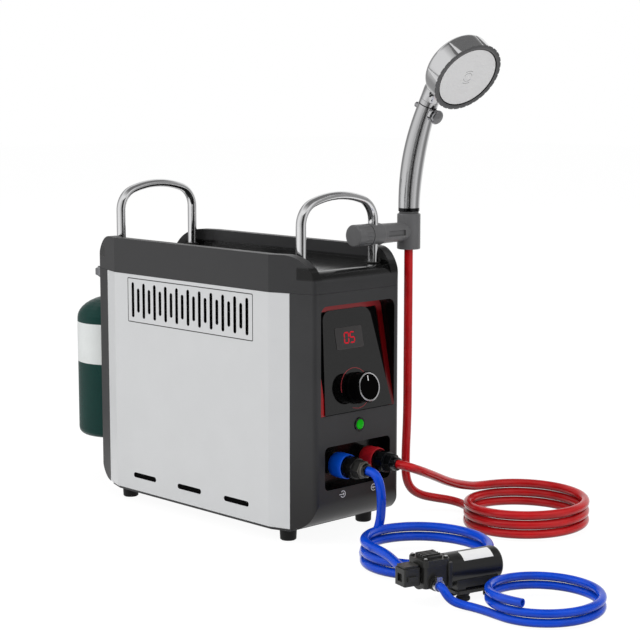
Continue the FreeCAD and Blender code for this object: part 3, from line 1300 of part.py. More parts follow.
def stop_button():
    """Push-through water stop with a disc in front and a tail behind."""
    centre, out = stop_axis()
    r = STOP_RADIUS
    lift = STOP_COLLAR_TOP + STOP_TRAVEL + MOVING_GAP
    stem = STEM_RADIUS
    profile = [(0, -STOP_TAIL), (stem - 1.0, -STOP_TAIL), (stem, 1.0 - STOP_TAIL), (stem, lift),
               (r - 0.8, lift), (r, lift + 0.8),
               (r, lift + 2.4), (r - 1.0, lift + 3.6), (0, lift + 4.2)]
    return turned(profile, (centre.x, centre.y, centre.z), (out.x, out.y, out.z))


# ================================================================ pump
def pump_place(shape):
    """Move a shape from pump coordinates (X along, Y to its left) to the ground."""
    turn = FreeCAD.Rotation(Vec(0, 0, 1), PUMP_ANGLE)
    moved = shape.copy()
    base = FreeCAD.Placement(Vec(PUMP_ORIGIN[0], PUMP_ORIGIN[1], 0), turn)
    moved.Placement = base.multiply(shape.Placement)
    return moved


def pump_motor():
    """Motor can with a rolled end and a rear bearing boss."""
    a0, a1 = MOTOR_SPAN
    r = MOTOR_RADIUS
    profile = [(0, a0), (r, a0), (r, a1 - 2.2), (r - 0.7, a1 - 0.7), (r - 2.2, a1), (5.0, a1),
               (5.0, a1 + 2.0), (0, a1 + 2.0)]
    return pump_place(turned(profile, (0, 0, MOTOR_AXIS_Z), (1, 0, 0)))


def pump_head():
    """Diaphragm head: valve block, screwed top plate, flange and both hose barbs."""
    a0, a1 = HEAD_SPAN
    middle = (a0 + a1) / 2
    half = (a1 - a0) / 2
    w = HEAD_HALF_WIDTH
    low, high = HEAD_Z
    block = prism(rectangle(half - 1.5, w - 1.2, (middle, 0)), 3.0, low + 3, high)
    chin = rod(w - 2.5, (a0 + 2, 0, low + w - 2.5), (a1 - 4, 0, low + w - 2.5))
    plate = prism(rectangle(half - 0.3, w, (middle, 0)), 5.0, high - 6, high)
    lid = prism(rectangle(half - 5, w - 5, (middle, 0)), 5.0, high - 1, high + 2.5)
    flange = prism(rectangle(2.6, w + 1.5, (a1 - 1.6, 0)), 1.5, low + 1, high - 4)
    ridge_span = (middle - half + 4, middle + half - 7)
    ridges = [box(ridge_span, (y - 0.8, y + 0.8), (high + 2, high + 4)) for y in (-6, -2, 2, 6)]
    screws = []
    for sx in (-1, 1):
        for sy in (-1, 1):
            centre = Vec(middle + sx * (half - 4.0), sy * (w - 4.0), high - 0.5)
            screws.append(Part.makeCylinder(2.3, 2.0, centre))
    barbs = []
    for side in (-1, 1):
        root = (PUMP_PORT_A, 0, PUMP_PORT_Z)
        reach = w + BARB_REACH
        boss = rod(6.4, root, (PUMP_PORT_A, side * (reach - 1.0), PUMP_PORT_Z))
        barb = rod(4.0, root, (PUMP_PORT_A, side * reach, PUMP_PORT_Z))
        barbs += [boss, barb]
    return pump_place(fuse([block, chin, plate, lid, flange] + ridges + screws + barbs))


def pump_switch():
    """Pressure switch box on the end of the head."""
    a0, a1 = SWITCH_SPAN
    w = SWITCH_HALF_WIDTH
    low, high = SWITCH_Z
    half = (a1 - a0) / 2
    middle = ((a0 + a1) / 2, 0)
    body = prism(rectangle(half, w, middle), 1.6, low, high - 2.5)
    lid = prism(rectangle(half - 1.2, w - 1.2, middle), 1.2, high - 3, high)
    neck = rod(6.5, (a1 - 2, 0, low + 9), (a1 + 1.5, 0, low + 9))
    socket = box((a0 - 1, a0 + 2.5), (-4, 4), (low + 4, low + 12))
    wings = box((a0 + 3, a1 - 5), (-w - 2.2, w + 2.2), (low + 5.5, low + 9.5))
    return pump_place(fuse([body, lid, neck, wings]).cut(socket))


def pump_base():
    """Saddle and base plate under the motor."""
    a0 = PUMP_FOOT_A[0] - PUMP_FOOT_RADIUS - 5
    a1 = PUMP_FOOT_A[1] + PUMP_FOOT_RADIUS + 3
    middle = (a0 + a1) / 2
    half = (a1 - a0) / 2
    low = PUMP_FOOT_HEIGHT
    r = MOTOR_RADIUS
    plate = prism(rectangle(half, PUMP_FOOT_B + PUMP_FOOT_RADIUS, (middle, 0)), 4.0, low, low + 3)
    saddle = box((a0 + 2, a1 - 4), (-r + 1.5, r - 1.5), (low + 2, MOTOR_AXIS_Z - 8))
    cuts = [rod(r, (a0 - 20, 0, MOTOR_AXIS_Z), (a1 + 20, 0, MOTOR_AXIS_Z))]
    for side in (-1, 1):
        cuts.append(box((a0 + 12, a1 + 5), (side * (r - 4.5), side * (r + 5)), (low + 3, low + 5.5)))
    return pump_place(fuse([plate, saddle]).cut(cuts))


def pump_feet():
    """Four rubber bushes under the base plate."""
    r = PUMP_FOOT_RADIUS
    profile = [(0, 0), (r - 1, 0), (r, 1), (r, 3.2), (r - 1.2, 4.2), (r - 1.2, 5.4), (r - 0.4, 6.4),
               (r - 0.4, PUMP_FOOT_HEIGHT), (0, PUMP_FOOT_HEIGHT)]
    return group([pump_place(turned(profile, (a, side * PUMP_FOOT_B, 0), (0, 0, 1)))
                  for a in PUMP_FOOT_A for side in (-1, 1)])


def hose_clamps():
    """Wire clips on both hose ends at the pump."""
    clips = []
    for side, hose in ((-1, SUCTION_HOSE_RADIUS), (1, HOSE_RADIUS)):
        start = side * (HEAD_HALF_WIDTH + BARB_REACH + MOVING_GAP)
        end = start + side * CLIP_WIDTH
        a, z = PUMP_PORT_A, PUMP_PORT_Z
        ring = rod(hose + 1.5, (a, start, z), (a, end, z))
        lug = box((a - 3, a + 3), (start, end), (z + hose, z + hose + 4.5))
        bore = rod(hose + 0.12, (a, start - side, z), (a, end + side * 2.0, z))
        clips.append(pump_place(fuse([ring, lug]).cut(bore)))
    return group(clips)


def main():
    """Build every node in order."""
    add("base_pan", base_pan())
    add("feet", feet())
    add("front_housing", front_housing())
    add("rear_housing", rear_housing())
    add("top_cover", top_cover())
    add("side_panel_vented", side_panel(True))
    plain = side_panel(False)
    plain.rotate(Vec(0, 0, 0), Vec(0, 0, 1), 180)
    add("side_panel_plain", plain)
    add("vent_grille", vent_grille())
    add("handle_front", carry_handle(HANDLE_FRONT_X))
    add("handle_rear", carry_handle(HANDLE_REAR_X))
    add("control_trim", control_trim())
    add("control_fascia", control_fascia())
    add("display_window", display_window())
    add("temperature_knob", temperature_knob())
    add("power_bezel", power_bezel())
    add("power_button", power_button())
    for side, name in ((-1, "inlet"), (1, "outlet")):
        add(f"{name}_fitting", port_fitting(side))
        add(f"{name}_collar", port_collar(side))
        add(f"{name}_hose_nut", hose_nut(side))
    add("combustion_chamber", combustion_chamber())
    add("heat_exchanger", heat_exchanger())
    add("exhaust_hood", exhaust_hood())
    add("burner", burner())
    add("igniter", igniter())
    add("gas_valve", gas_valve())
    add("gas_pipe", gas_pipe())
    cold, hot = water_pipes()
    add("cold_pipe", cold)
    add("hot_pipe", hot)
    add("flow_sensor", flow_sensor())
    add("control_board", control_board())
    add("battery_box", battery_box())
    add("regulator", regulator())
    add("gas_cylinder", gas_cylinder())
    add("cylinder_valve", cylinder_valve())
    add("clamp_sleeve", clamp_sleeve())
    add("clamp_knob", clamp_knob())
    add("shower_cradle", shower_cradle())
    add("hose_cone", hose_cone())
    add("shower_handle", shower_handle())
    add("shower_head", shower_head())
    add("shower_rim", shower_rim())
    add("spray_face", spray_face())
    add("stop_button", stop_button())
    add("pump_motor", pump_motor())
    add("pump_head", pump_head())
    add("pump_switch", pump_switch())
    add("pump_base", pump_base())
    add("pump_feet", pump_feet())
    add("hose_clamps", hose_clamps())
    hose_tube("red_hose_out", RED_OUT_ROUTE)
    add("red_coil", hose_coil(RED_COIL_CENTRE, RED_COIL_RADIUS, RED_COIL_HEIGHT))
    hose_tube("red_hose_riser", RED_RISER_ROUTE)
    hose_tube("feed_hose_in", FEED_ROUTE)
    add("feed_coil", hose_coil(FEED_COIL_CENTRE, FEED_COIL_RADIUS, FEED_COIL_HEIGHT))
    hose_tube("feed_hose_to_pump", PUMP_FEED_ROUTE)
    hose_tube("suction_hose", SUCTION_ROUTE, SUCTION_HOSE_RADIUS)
    add("suction_coil", hose_coil(SUCTION_COIL_CENTRE, SUCTION_COIL_RADIUS, SUCTION_COIL_HEIGHT,
                                  SUCTION_HOSE_RADIUS))


main()
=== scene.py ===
"""Finishes, fittings and studio for a portable propane water heater with shower, pump and hoses.

Lengths are millimetres where a class holds them and metres in every mesh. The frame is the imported
model's own: the origin is on the ground at the centre of the four feet, +X leaves the control end,
-Y leaves the vented side and +Z points up. Colours are linear, and shade() gives them from display
values.
"""
from __future__ import annotations

import logging
import math
from dataclasses import dataclass
from enum import Enum
from functools import partial
from typing import Callable, Iterable, Sequence

import bmesh
import bpy
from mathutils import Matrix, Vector

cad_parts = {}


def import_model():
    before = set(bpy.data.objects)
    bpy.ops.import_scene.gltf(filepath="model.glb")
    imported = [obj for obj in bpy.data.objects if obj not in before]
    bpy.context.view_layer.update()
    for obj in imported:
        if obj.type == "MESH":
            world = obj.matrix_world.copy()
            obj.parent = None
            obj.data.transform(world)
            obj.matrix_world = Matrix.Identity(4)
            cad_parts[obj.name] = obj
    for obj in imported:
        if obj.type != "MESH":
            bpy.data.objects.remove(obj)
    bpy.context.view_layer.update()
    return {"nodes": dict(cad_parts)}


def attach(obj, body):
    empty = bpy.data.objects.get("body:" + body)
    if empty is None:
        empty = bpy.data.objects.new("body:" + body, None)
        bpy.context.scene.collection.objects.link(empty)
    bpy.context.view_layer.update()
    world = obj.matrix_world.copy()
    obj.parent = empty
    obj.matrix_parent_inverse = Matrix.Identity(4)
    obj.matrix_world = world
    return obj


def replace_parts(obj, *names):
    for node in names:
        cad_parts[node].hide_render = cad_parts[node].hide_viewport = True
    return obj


LOG = logging.getLogger("heater")
Colour = tuple[float, float, float]
Triple = tuple[float, float, float]
Pair = tuple[float, float]
Coil = tuple[Pair, float, float, float, Pair]
Socket = bpy.types.NodeSocket
MM = 0.001
FAR = 9999.0
WHITE = (1.0, 1.0, 1.0, 1.0)
X_AXIS: Triple = (1.0, 0.0, 0.0)
Y_AXIS: Triple = (0.0, 1.0, 0.0)
Z_AXIS: Triple = (0.0, 0.0, 1.0)


def shade(*values: float) -> Colour:
    """Give the linear colour of an 8-bit display colour.

    Args:
        *values: Red, green and blue from 0 to 255.

    Returns:
        The three linear channels.
    """
    shares = [value / 255.0 for value in values]
    return tuple(s / 12.92 if s <= 0.04045 else ((s + 0.055) / 1.055) ** 2.4 for s in shares)


def put(name: str, data: bpy.types.ID) -> bpy.types.Object:
    """Put new data into the scene.

    Args:
        name: Name of the object.
        data: Its mesh, curve, light or camera.

    Returns:
        The new object.
    """
    thing = bpy.data.objects.new(name, data)
    bpy.context.scene.collection.objects.link(thing)
    return thing


# ------------------------------------------------------------------ shader graph
class Graph:
    """Adds, sets and joins the nodes of one tree."""

    def __init__(self, tree: bpy.types.NodeTree) -> None:
        """Keep the tree that the nodes go into."""
        self.tree = tree

    def feed(self, socket: Socket, value: object) -> None:
        """Join a socket to another, or set its own value.

        Args:
            socket: The input to feed.
            value: An output, or a plain value.
        """
        if isinstance(value, Socket):
            self.tree.links.new(value, socket)
        else:
            socket.default_value = value

    def add(self, kind: str, *values: object, **settings: object) -> bpy.types.Node:
        """Add one shader node.

        Args:
            kind: Type name of the node after "ShaderNode".
            *values: Sockets or values for its first inputs, in order.
            **settings: Properties of the node and their values.

        Returns:
            The new node.
        """
        node = self.tree.nodes.new(f"ShaderNode{kind}")
        for name, value in settings.items():
            setattr(node, name, value)
        for socket, value in zip(node.inputs, values):
            self.feed(socket, value)
        return node

    def fill(self, node: bpy.types.Node, values: dict[str, object]) -> bpy.types.Node:
        """Feed a node's named inputs.

        Args:
            node: The node.
            values: Sockets or values by the names of the inputs.

        Returns:
            The same node.
        """
        for name, value in values.items():
            self.feed(node.inputs[name], value)
        return node

    def maths(self, operation: str, *values: object, clamp: bool = False) -> Socket:
        """Work on numbers, with the result kept from 0 to 1 if clamped."""
        return self.add("Math", *values, operation=operation, use_clamp=clamp).outputs[0]

    def times(self, first: object, second: object, clamp: bool = False) -> Socket:
        """Multiply two numbers."""
        return self.maths("MULTIPLY", first, second, clamp=clamp)

    def plus(self, first: object, second: object, clamp: bool = False) -> Socket:
        """Add two numbers."""
        return self.maths("ADD", first, second, clamp=clamp)

    def ranged(self, value: object, source: Pair, target: Pair = (0.0, 1.0)) -> Socket:
        """Carry a number from one range to another, clamped to it."""
        return self.add("MapRange", value, *source, *target, clamp=True).outputs[0]

    def band(self, value: object, low: float, high: float, soft: float) -> Socket:
        """Mask a stretch of a number.

        Args:
            value: Socket of the number.
            low: Lower end.
            high: Upper end.
            soft: Half the width of each soft edge.

        Returns:
            A mask that is 1 between the ends.
        """
        rise = self.ranged(value, (low - soft, low + soft))
        return self.times(rise, self.ranged(value, (high - soft, high + soft), (1.0, 0.0)))

    def tint(self, share: object, first: object, second: object) -> Socket:
        """Blend two colours.

        Args:
            share: Share of the second colour.
            first: First colour or socket.
            second: Second colour or socket.

        Returns:
            The blended colour.
        """
        node = self.add("Mix", share, data_type="RGBA")
        for socket, value in zip(node.inputs[6:8], (first, second)):
            self.feed(socket, value if isinstance(value, Socket) else (*value, 1.0))
        return node.outputs[2]

    def place(self) -> Socket:
        """Give the position on the piece in its own metres."""
        return self.add("TexCoord").outputs["Object"]

    def normal(self) -> Socket:
        """Give the direction that the surface faces."""
        return self.add("NewGeometry").outputs["Normal"]

    def dot(self, first: object, second: object) -> Socket:
        """Give the dot product of two vectors."""
        return self.add("VectorMath", first, second, operation="DOT_PRODUCT").outputs["Value"]

    def noise(self, scale: object, detail: float = 2.0, vector: object = None) -> Socket:
        """Give soft noise.

        Args:
            scale: Waves to the metre.
            detail: Octaves of finer noise.
            vector: Where it is read, which is the position if left out.

        Returns:
            The noise from 0 to 1.
        """
        node = self.add("TexNoise", self.place() if vector is None else vector)
        return self.fill(node, {"Scale": scale, "Detail": detail}).outputs[0]

    def effect(self, effect: "Effect", **values: object) -> Socket:
        """Place a shared effect, with numbers or sockets for its named inputs."""
        return self.fill(self.add("Group", node_tree=EffectShelf.group(effect)), values).outputs[0]


def new_material(name: str) -> tuple[bpy.types.Material, Graph, bpy.types.Node]:
    """Make a material.

    Args:
        name: Name of the material.

    Returns:
        The material, its graph and its Principled shader.
    """
    material = bpy.data.materials.new(name)
    material.use_nodes = True
    return material, Graph(material.node_tree), material.node_tree.nodes["Principled BSDF"]


class Effect(Enum):
    """Shared effects: each one's name, its inputs with their usual values, and its output."""

    GRAIN = ("moulded grain", {"Scale": 1400.0}, "Height")
    SPECKLE = ("paint speckle", {"Scale": 2600.0}, "Height")
    SCRATCHES = ("fine scratches", {"Scale": 60.0}, "Height")
    DRAW_LINES = ("drawn lines", {"Across": 900.0, "Along": 14.0}, "Height")
    HANDLING = ("handling marks", {"Scale": 22.0}, "Mask")
    EDGES = ("worn edges", {"Width": 0.0006, "Breaks": 160.0}, "Mask")
    DUST = ("settled dust", {"Amount": 0.2}, "Mask")


class EffectShelf:
    """Builds each shared effect once, as a node group."""

    made: dict[Effect, bpy.types.NodeTree] = {}

    @classmethod
    def group(cls, effect: Effect) -> bpy.types.NodeTree:
        """Give the node group of an effect.

        Args:
            effect: Which effect.

        Returns:
            Its group of number inputs and one number output, made at its first use.
        """
        if effect not in cls.made:
            name, inputs, output = effect.value
            tree = bpy.data.node_groups.new(name, "ShaderNodeTree")
            for label, usual in inputs.items():
                socket = tree.interface.new_socket(label, in_out="INPUT", socket_type="NodeSocketFloat")
                socket.default_value = usual
            tree.interface.new_socket(output, in_out="OUTPUT", socket_type="NodeSocketFloat")
            graph = Graph(tree)
            source = tree.nodes.new("NodeGroupInput").outputs
            result = getattr(cls, effect.name.lower())(graph, *(source[label] for label in inputs))
            graph.feed(tree.nodes.new("NodeGroupOutput").inputs[output], result)
            cls.made[effect] = tree
        return cls.made[effect]

    @staticmethod
    def grain(graph: Graph, scale: Socket) -> Socket:
        """Etch a mould's texture: rounded cells with finer noise on them.

        Args:
            graph: Graph of the group.
            scale: Cells to the metre.

        Returns:
            The height.
        """
        cells = graph.fill(graph.add("TexVoronoi", graph.place(), feature="SMOOTH_F1"), {"Scale": scale})
        fine = graph.noise(graph.times(scale, 2.6), 1.0)
        return graph.plus(cells.outputs["Distance"], graph.times(fine, 0.5))

    @staticmethod
    def speckle(graph: Graph, scale: Socket) -> Socket:
        """Give the flakes and orange peel of sprayed paint, with so many flakes to the metre."""
        peel = graph.noise(graph.times(scale, 0.18), 1.0)
        return graph.plus(graph.noise(scale, 0.0), graph.times(peel, 1.4))

    @staticmethod
    def scratches(graph: Graph, scale: Socket) -> Socket:
        """Draw hairlines of polishing and use, crossing at two angles.

        Args:
            graph: Graph of the group.
            scale: Hairlines to the metre.

        Returns:
            The height.
        """
        total: object = 0.0
        for turn, stretch in ((0.35, 26.0), (-0.9, 34.0)):
            mapping = graph.fill(graph.add("Mapping", graph.place()), {
                "Rotation": (turn, 0.4, turn), "Scale": (1.0, stretch, stretch * 0.6)})
            lines = graph.noise(scale, 3.0, mapping.outputs[0])
            total = graph.plus(total, graph.ranged(lines, (0.52, 0.70), (0.0, 0.5)))
        return total

    @staticmethod
    def draw_lines(graph: Graph, across: Socket, along: Socket) -> Socket:
        """Draw lines along a part's length, as rolled or extruded stock has.

        Args:
            graph: Graph of the group.
            across: Lines to the metre across the stock.
            along: Changes to the metre along a line.

        Returns:
            The height.
        """
        spread = graph.add("CombineXYZ", along, across, across).outputs[0]
        stretched = graph.add("VectorMath", graph.place(), spread, operation="MULTIPLY")
        return graph.noise(1.0, 3.0, stretched.outputs[0])

    @staticmethod
    def handling(graph: Graph, scale: Socket) -> Socket:
        """Leave broad uneven gloss from hands and wiping.

        Args:
            graph: Graph of the group.
            scale: Broad marks to the metre.

        Returns:
            The mask.
        """
        broad = graph.ranged(graph.noise(scale, 4.0), (0.34, 0.68))
        close = graph.noise(graph.times(scale, 9.0), 3.0)
        return graph.plus(graph.times(broad, 0.7), graph.times(close, 0.3))

    @staticmethod
    def edges(graph: Graph, width: Socket, breaks: Socket) -> Socket:
        """Rub the outer edges, broken up along their length.

        Args:
            graph: Graph of the group.
            width: Width of the rubbed edge in metres.
            breaks: Breaks to the metre.

        Returns:
            The mask.
        """
        bevel = graph.add("Bevel", width, samples=4).outputs[0]
        edge = graph.ranged(graph.dot(bevel, graph.normal()), (0.985, 0.90))
        broken = graph.ranged(graph.noise(breaks, 4.0), (0.42, 0.62), (0.15, 1.0))
        return graph.times(edge, broken, clamp=True)

    @staticmethod
    def dust(graph: Graph, amount: Socket) -> Socket:
        """Settle fine dust on what faces up.

        Args:
            graph: Graph of the group.
            amount: Cover of a level face.

        Returns:
            The mask.
        """
        level = graph.ranged(graph.dot(graph.normal(), Z_AXIS), (0.55, 1.0))
        patches = graph.ranged(graph.noise(70.0, 5.0), (0.38, 0.72), (0.1, 1.0))
        return graph.times(graph.times(level, patches), amount, clamp=True)


# ------------------------------------------------------------------ finishes
@dataclass(frozen=True)
class Relief:
    """Fine relief of a surface: its effect, the effect's scale and its depth."""

    effect: Effect
    scale: float
    depth: float

    def normal(self, graph: Graph) -> Socket:
        """Give the surface's normal with the relief in it.

        Args:
            graph: Graph of the material.

        Returns:
            The normal.
        """
        label = "Across" if self.effect is Effect.DRAW_LINES else "Scale"
        height = graph.effect(self.effect, **{label: self.scale})
        bump = graph.add("Bump")
        values = {"Strength": 1.0, "Distance": self.depth * MM, "Height": height}
        return graph.fill(bump, values).outputs[0]


grained, speckled, scratched, drawn = (
    partial(Relief, effect)
    for effect in (Effect.GRAIN, Effect.SPECKLE, Effect.SCRATCHES, Effect.DRAW_LINES))
CHROMED = dict(relief=scratched(60.0, 0.002), metallic=1.0, variation=0.03)


@dataclass(frozen=True)
class Band:
    """A stretch along an axis of where a surface is, or of which way it faces."""

    axis: Triple
    low: float
    high: float
    soft: float
    facing: bool = False

    def mask(self, graph: Graph) -> Socket:
        """Give the band's mask.

        Args:
            graph: Graph of the material.

        Returns:
            A mask that is 1 between the band's ends.
        """
        unit = 1.0 if self.facing else MM
        value = graph.dot(graph.normal() if self.facing else graph.place(), self.axis)
        return graph.band(value, self.low * unit, self.high * unit, self.soft * unit)


@dataclass(frozen=True)
class Zone:
    """A place of a finish with its own colour and gloss, where all its bands meet."""

    colour: Colour
    bands: tuple[Band, ...]
    share: float = 1.0
    gloss: float = 1.0

    def paint(self, graph: Graph, colour: Socket, gloss: Socket) -> tuple[Socket, Socket]:
        """Paint the zone over a finish.

        Args:
            graph: Graph of the material.
            colour: Colour so far.
            gloss: Roughness so far.

        Returns:
            The colour and the roughness with the zone in them.
        """
        mask: object = 1.0
        for band in self.bands:
            mask = graph.times(mask, band.mask(graph))
        gloss = graph.times(gloss, graph.ranged(mask, (0.0, 1.0), (1.0, self.gloss)))
        return graph.tint(graph.times(mask, self.share), colour, self.colour), gloss


@dataclass(frozen=True)
class Finish:
    """One finish: its colour, its range of roughness, its relief and the marks over it."""

    name: str
    colour: Colour
    gloss: Pair
    relief: Relief
    metallic: float = 0.0
    coat: float = 0.0
    coat_roughness: float = 0.06
    specular: float = 0.5
    variation: float = 0.10
    handling_scale: float = 22.0
    wear: float = 0.0
    worn: Colour = (0.25, 0.25, 0.25)
    dust: float = 0.0
    dust_colour: Colour = (0.42, 0.41, 0.39)
    glow: float = 0.0
    zones: tuple[Zone, ...] = ()

    def build(self) -> bpy.types.Material:
        """Make the material.

        Returns:
            The new material, with every mark in its nodes.
        """
        material, graph, shader = new_material(self.name)
        marks = graph.effect(Effect.HANDLING, Scale=self.handling_scale)
        darker = tuple(channel * (1.0 - self.variation) for channel in self.colour)
        lighter = tuple(min(1.0, channel * (1.0 + self.variation)) for channel in self.colour)
        colour = graph.tint(marks, darker, lighter)
        gloss = graph.ranged(marks, (0.0, 1.0), self.gloss)
        if self.wear > 0.0:
            colour = graph.tint(graph.times(graph.effect(Effect.EDGES), self.wear), colour, self.worn)
        if self.dust > 0.0:
            layer = graph.effect(Effect.DUST, Amount=self.dust)
            colour = graph.tint(layer, colour, self.dust_colour)
            gloss = graph.plus(gloss, graph.times(layer, 0.4), clamp=True)
        for zone in self.zones:
            colour, gloss = zone.paint(graph, colour, gloss)
        graph.fill(shader, {
            "Base Color": colour, "Roughness": gloss, "Normal": self.relief.normal(graph),
            "Metallic": self.metallic, "Specular IOR Level": self.specular,
            "Coat Weight": self.coat, "Coat Roughness": self.coat_roughness,
        })
        if self.glow > 0.0:
            graph.fill(shader, {"Emission Color": colour, "Emission Strength": self.glow})
        return material


class FinishBook:
    """Every finish of the heater, made when it is first asked for."""

    def __init__(self) -> None:
        """List the finishes by name."""
        listed = (*self.casing(), *self.controls(), *self.water(), *self.inside(), *self.shower())
        self.finishes = {finish.name: finish for finish in listed}
        self.materials: dict[str, bpy.types.Material] = {}

    def get(self, name: str) -> bpy.types.Material:
        """Give the material of a finish.

        Args:
            name: Name of the finish.

        Returns:
            Its material, made at its first use.
        """
        if name not in self.materials:
            self.materials[name] = self.finishes[name].build()
        return self.materials[name]

    @staticmethod
    def casing() -> tuple[Finish, ...]:
        """List the finishes of the casing.

        Returns:
            The finishes.
        """
        moulded = dict(relief=grained(1700.0, 0.016), specular=0.28, wear=0.3, worn=shade(100, 100, 102),
                       dust=0.08)
        end_face = Band(X_AXIS, 100.0, 187.9, 0.12)
        # Painted shade: the end shell darkens towards the bottom, fully below 30 mm and fading out by 125 mm.
        shadow = Zone((0.010, 0.009, 0.009), (Band(Z_AXIS, -FAR, 77.5, 47.5),), share=0.8)
        # Painted shade: the walls inside the control recess and the port recess of the end shell are near
        # black.
        painted_recess_shade = tuple(
            Zone((0.003, 0.003, 0.003), (end_face, Band(Y_AXIS, -half, half, 0.1), Band(Z_AXIS, *span, 0.1)),
                 gloss=0.45)
            for half, span in ((57.2, (141.0, 261.5)), (51.2, (59.6, 108.8))))
        tray = Zone((0.006, 0.006, 0.006), (Band(Y_AXIS, -71.2, 71.2, 0.3), Band(Z_AXIS, 289.0, 302.0, 1.2)),
                    gloss=0.26)
        # Painted shade: the cut walls of the vent slots and intake slots in the side sheets are near black.
        sheet_core = Band(Y_AXIS, -81.93, 81.93, 0.03)
        slots = tuple(
            Zone((0.002, 0.002, 0.002),
                 (sheet_core, Band(X_AXIS, -half, half, 0.1), Band(Z_AXIS, *span, 0.1)))
            for half, span in ((112.0, (214.0, 272.0)), (108.0, (30.0, 42.0))))
        return (
            Finish("silver_panel", shade(205, 206, 207), (0.36, 0.46), speckled(2600.0, 0.006), metallic=0.12,
                   specular=0.4, variation=0.02, wear=0.3, worn=shade(222, 223, 225), dust=0.05, zones=slots),
            Finish("end_shell", shade(53, 53, 54), (0.34, 0.46), zones=(shadow, *painted_recess_shade), **moulded),
            Finish("rear_shell", shade(46, 46, 47), (0.38, 0.50), **moulded),
            Finish("cover_shell", shade(51, 51, 52), (0.36, 0.48), zones=(tray,), **moulded),
            Finish("dark_sheet", shade(26, 26, 28), (0.42, 0.55), speckled(1800.0, 0.010), wear=0.4,
                   worn=shade(120, 120, 122), dust=0.2),
            Finish("vent_black", shade(7, 7, 8), (0.5, 0.62), speckled(1800.0, 0.010), specular=0.1),
            Finish("matt_black", shade(6, 6, 6), (0.85, 0.95), grained(900.0, 0.08), specular=0.05),
            Finish("handle_steel", shade(218, 218, 219), (0.10, 0.18), **CHROMED),
            Finish("rubber", shade(20, 20, 20), (0.5, 0.68), grained(900.0, 0.02), dust=0.15, specular=0.2),
        )

    @staticmethod
    def controls() -> tuple[Finish, ...]:
        """List the finishes of the control panel and of every printed mark.

        Returns:
            The finishes.
        """
        # Painted light on the red trim: painted shade darkens the far upright, and a painted highlight
        # lightens the top strip.
        painted_shade_upright = Zone(shade(88, 5, 9), (Band(Y_AXIS, 43.0, FAR, 7.0),))
        top = Zone(shade(176, 60, 64), (Band(Z_AXIS, 249.0, FAR, 5.0),), share=0.8)
        return (
            Finish("red_trim", shade(150, 8, 16), (0.16, 0.26), grained(900.0, 0.006), coat=0.3,
                   zones=(painted_shade_upright, top)),
            Finish("fascia_plate", shade(6, 6, 6), (0.04, 0.07), speckled(1500.0, 0.0005), specular=1.0,
                   variation=0.08, wear=0.2, worn=shade(80, 80, 82)),
            Finish("smoked_window", shade(60, 58, 58), (0.10, 0.16), scratched(80.0, 0.001)),
            Finish("glowing_red", shade(196, 18, 38), (0.3, 0.4), speckled(900.0, 0.002), specular=0.1,
                   glow=0.35),
            Finish("printed_red", shade(160, 52, 58), (0.4, 0.5), speckled(2200.0, 0.004)),
            Finish("printed_white", shade(236, 236, 236), (0.45, 0.55), speckled(2200.0, 0.004),
                   variation=0.03),
            Finish("printed_black", shade(28, 28, 29), (0.45, 0.55), speckled(2200.0, 0.004)),
            Finish("knob_black", shade(5, 5, 5), (0.14, 0.22), grained(2200.0, 0.003), specular=0.02,
                   wear=0.2, worn=shade(40, 40, 42)),
            Finish("bright_ring", shade(196, 196, 198), (0.14, 0.24), drawn(1600.0, 0.002), metallic=1.0,
                   variation=0.05),
            Finish("lit_green", shade(4, 148, 6), (0.10, 0.18), speckled(500.0, 0.004), variation=0.25,
                   specular=0.12, glow=0.35),
            Finish("bezel_dark", shade(14, 18, 15), (0.14, 0.24), grained(1800.0, 0.004), specular=0.3),
        )

    @staticmethod
    def water() -> tuple[Finish, ...]:
        """List the finishes of the connections, the hoses and the pump.

        Returns:
            The finishes.
        """
        collar = dict(gloss=(0.34, 0.46), relief=grained(1500.0, 0.008), specular=0.3, variation=0.12,
                      wear=0.3)
        hose = dict(gloss=(0.12, 0.22), relief=speckled(260.0, 0.02), variation=0.2, handling_scale=40.0)
        hexagon = Zone((0.022, 0.022, 0.021), (Band(X_AXIS, 211.9, 219.0, 0.25),))
        sleeve = Zone((0.085, 0.08, 0.072), (Band(X_AXIS, 219.6, 223.6, 0.3),))

        def painted_light_zones(painted_highlight: Colour, deep: Colour) -> tuple[Zone, ...]:
            """Give a hose's painted highlight on its upper side and painted shade on its underside."""
            return (Zone(painted_highlight, (Band(Z_AXIS, 0.275, 0.725, 0.175, facing=True),), share=0.6),
                    Zone(deep, (Band(Z_AXIS, -FAR, -0.40, 0.35, facing=True),), share=0.8))

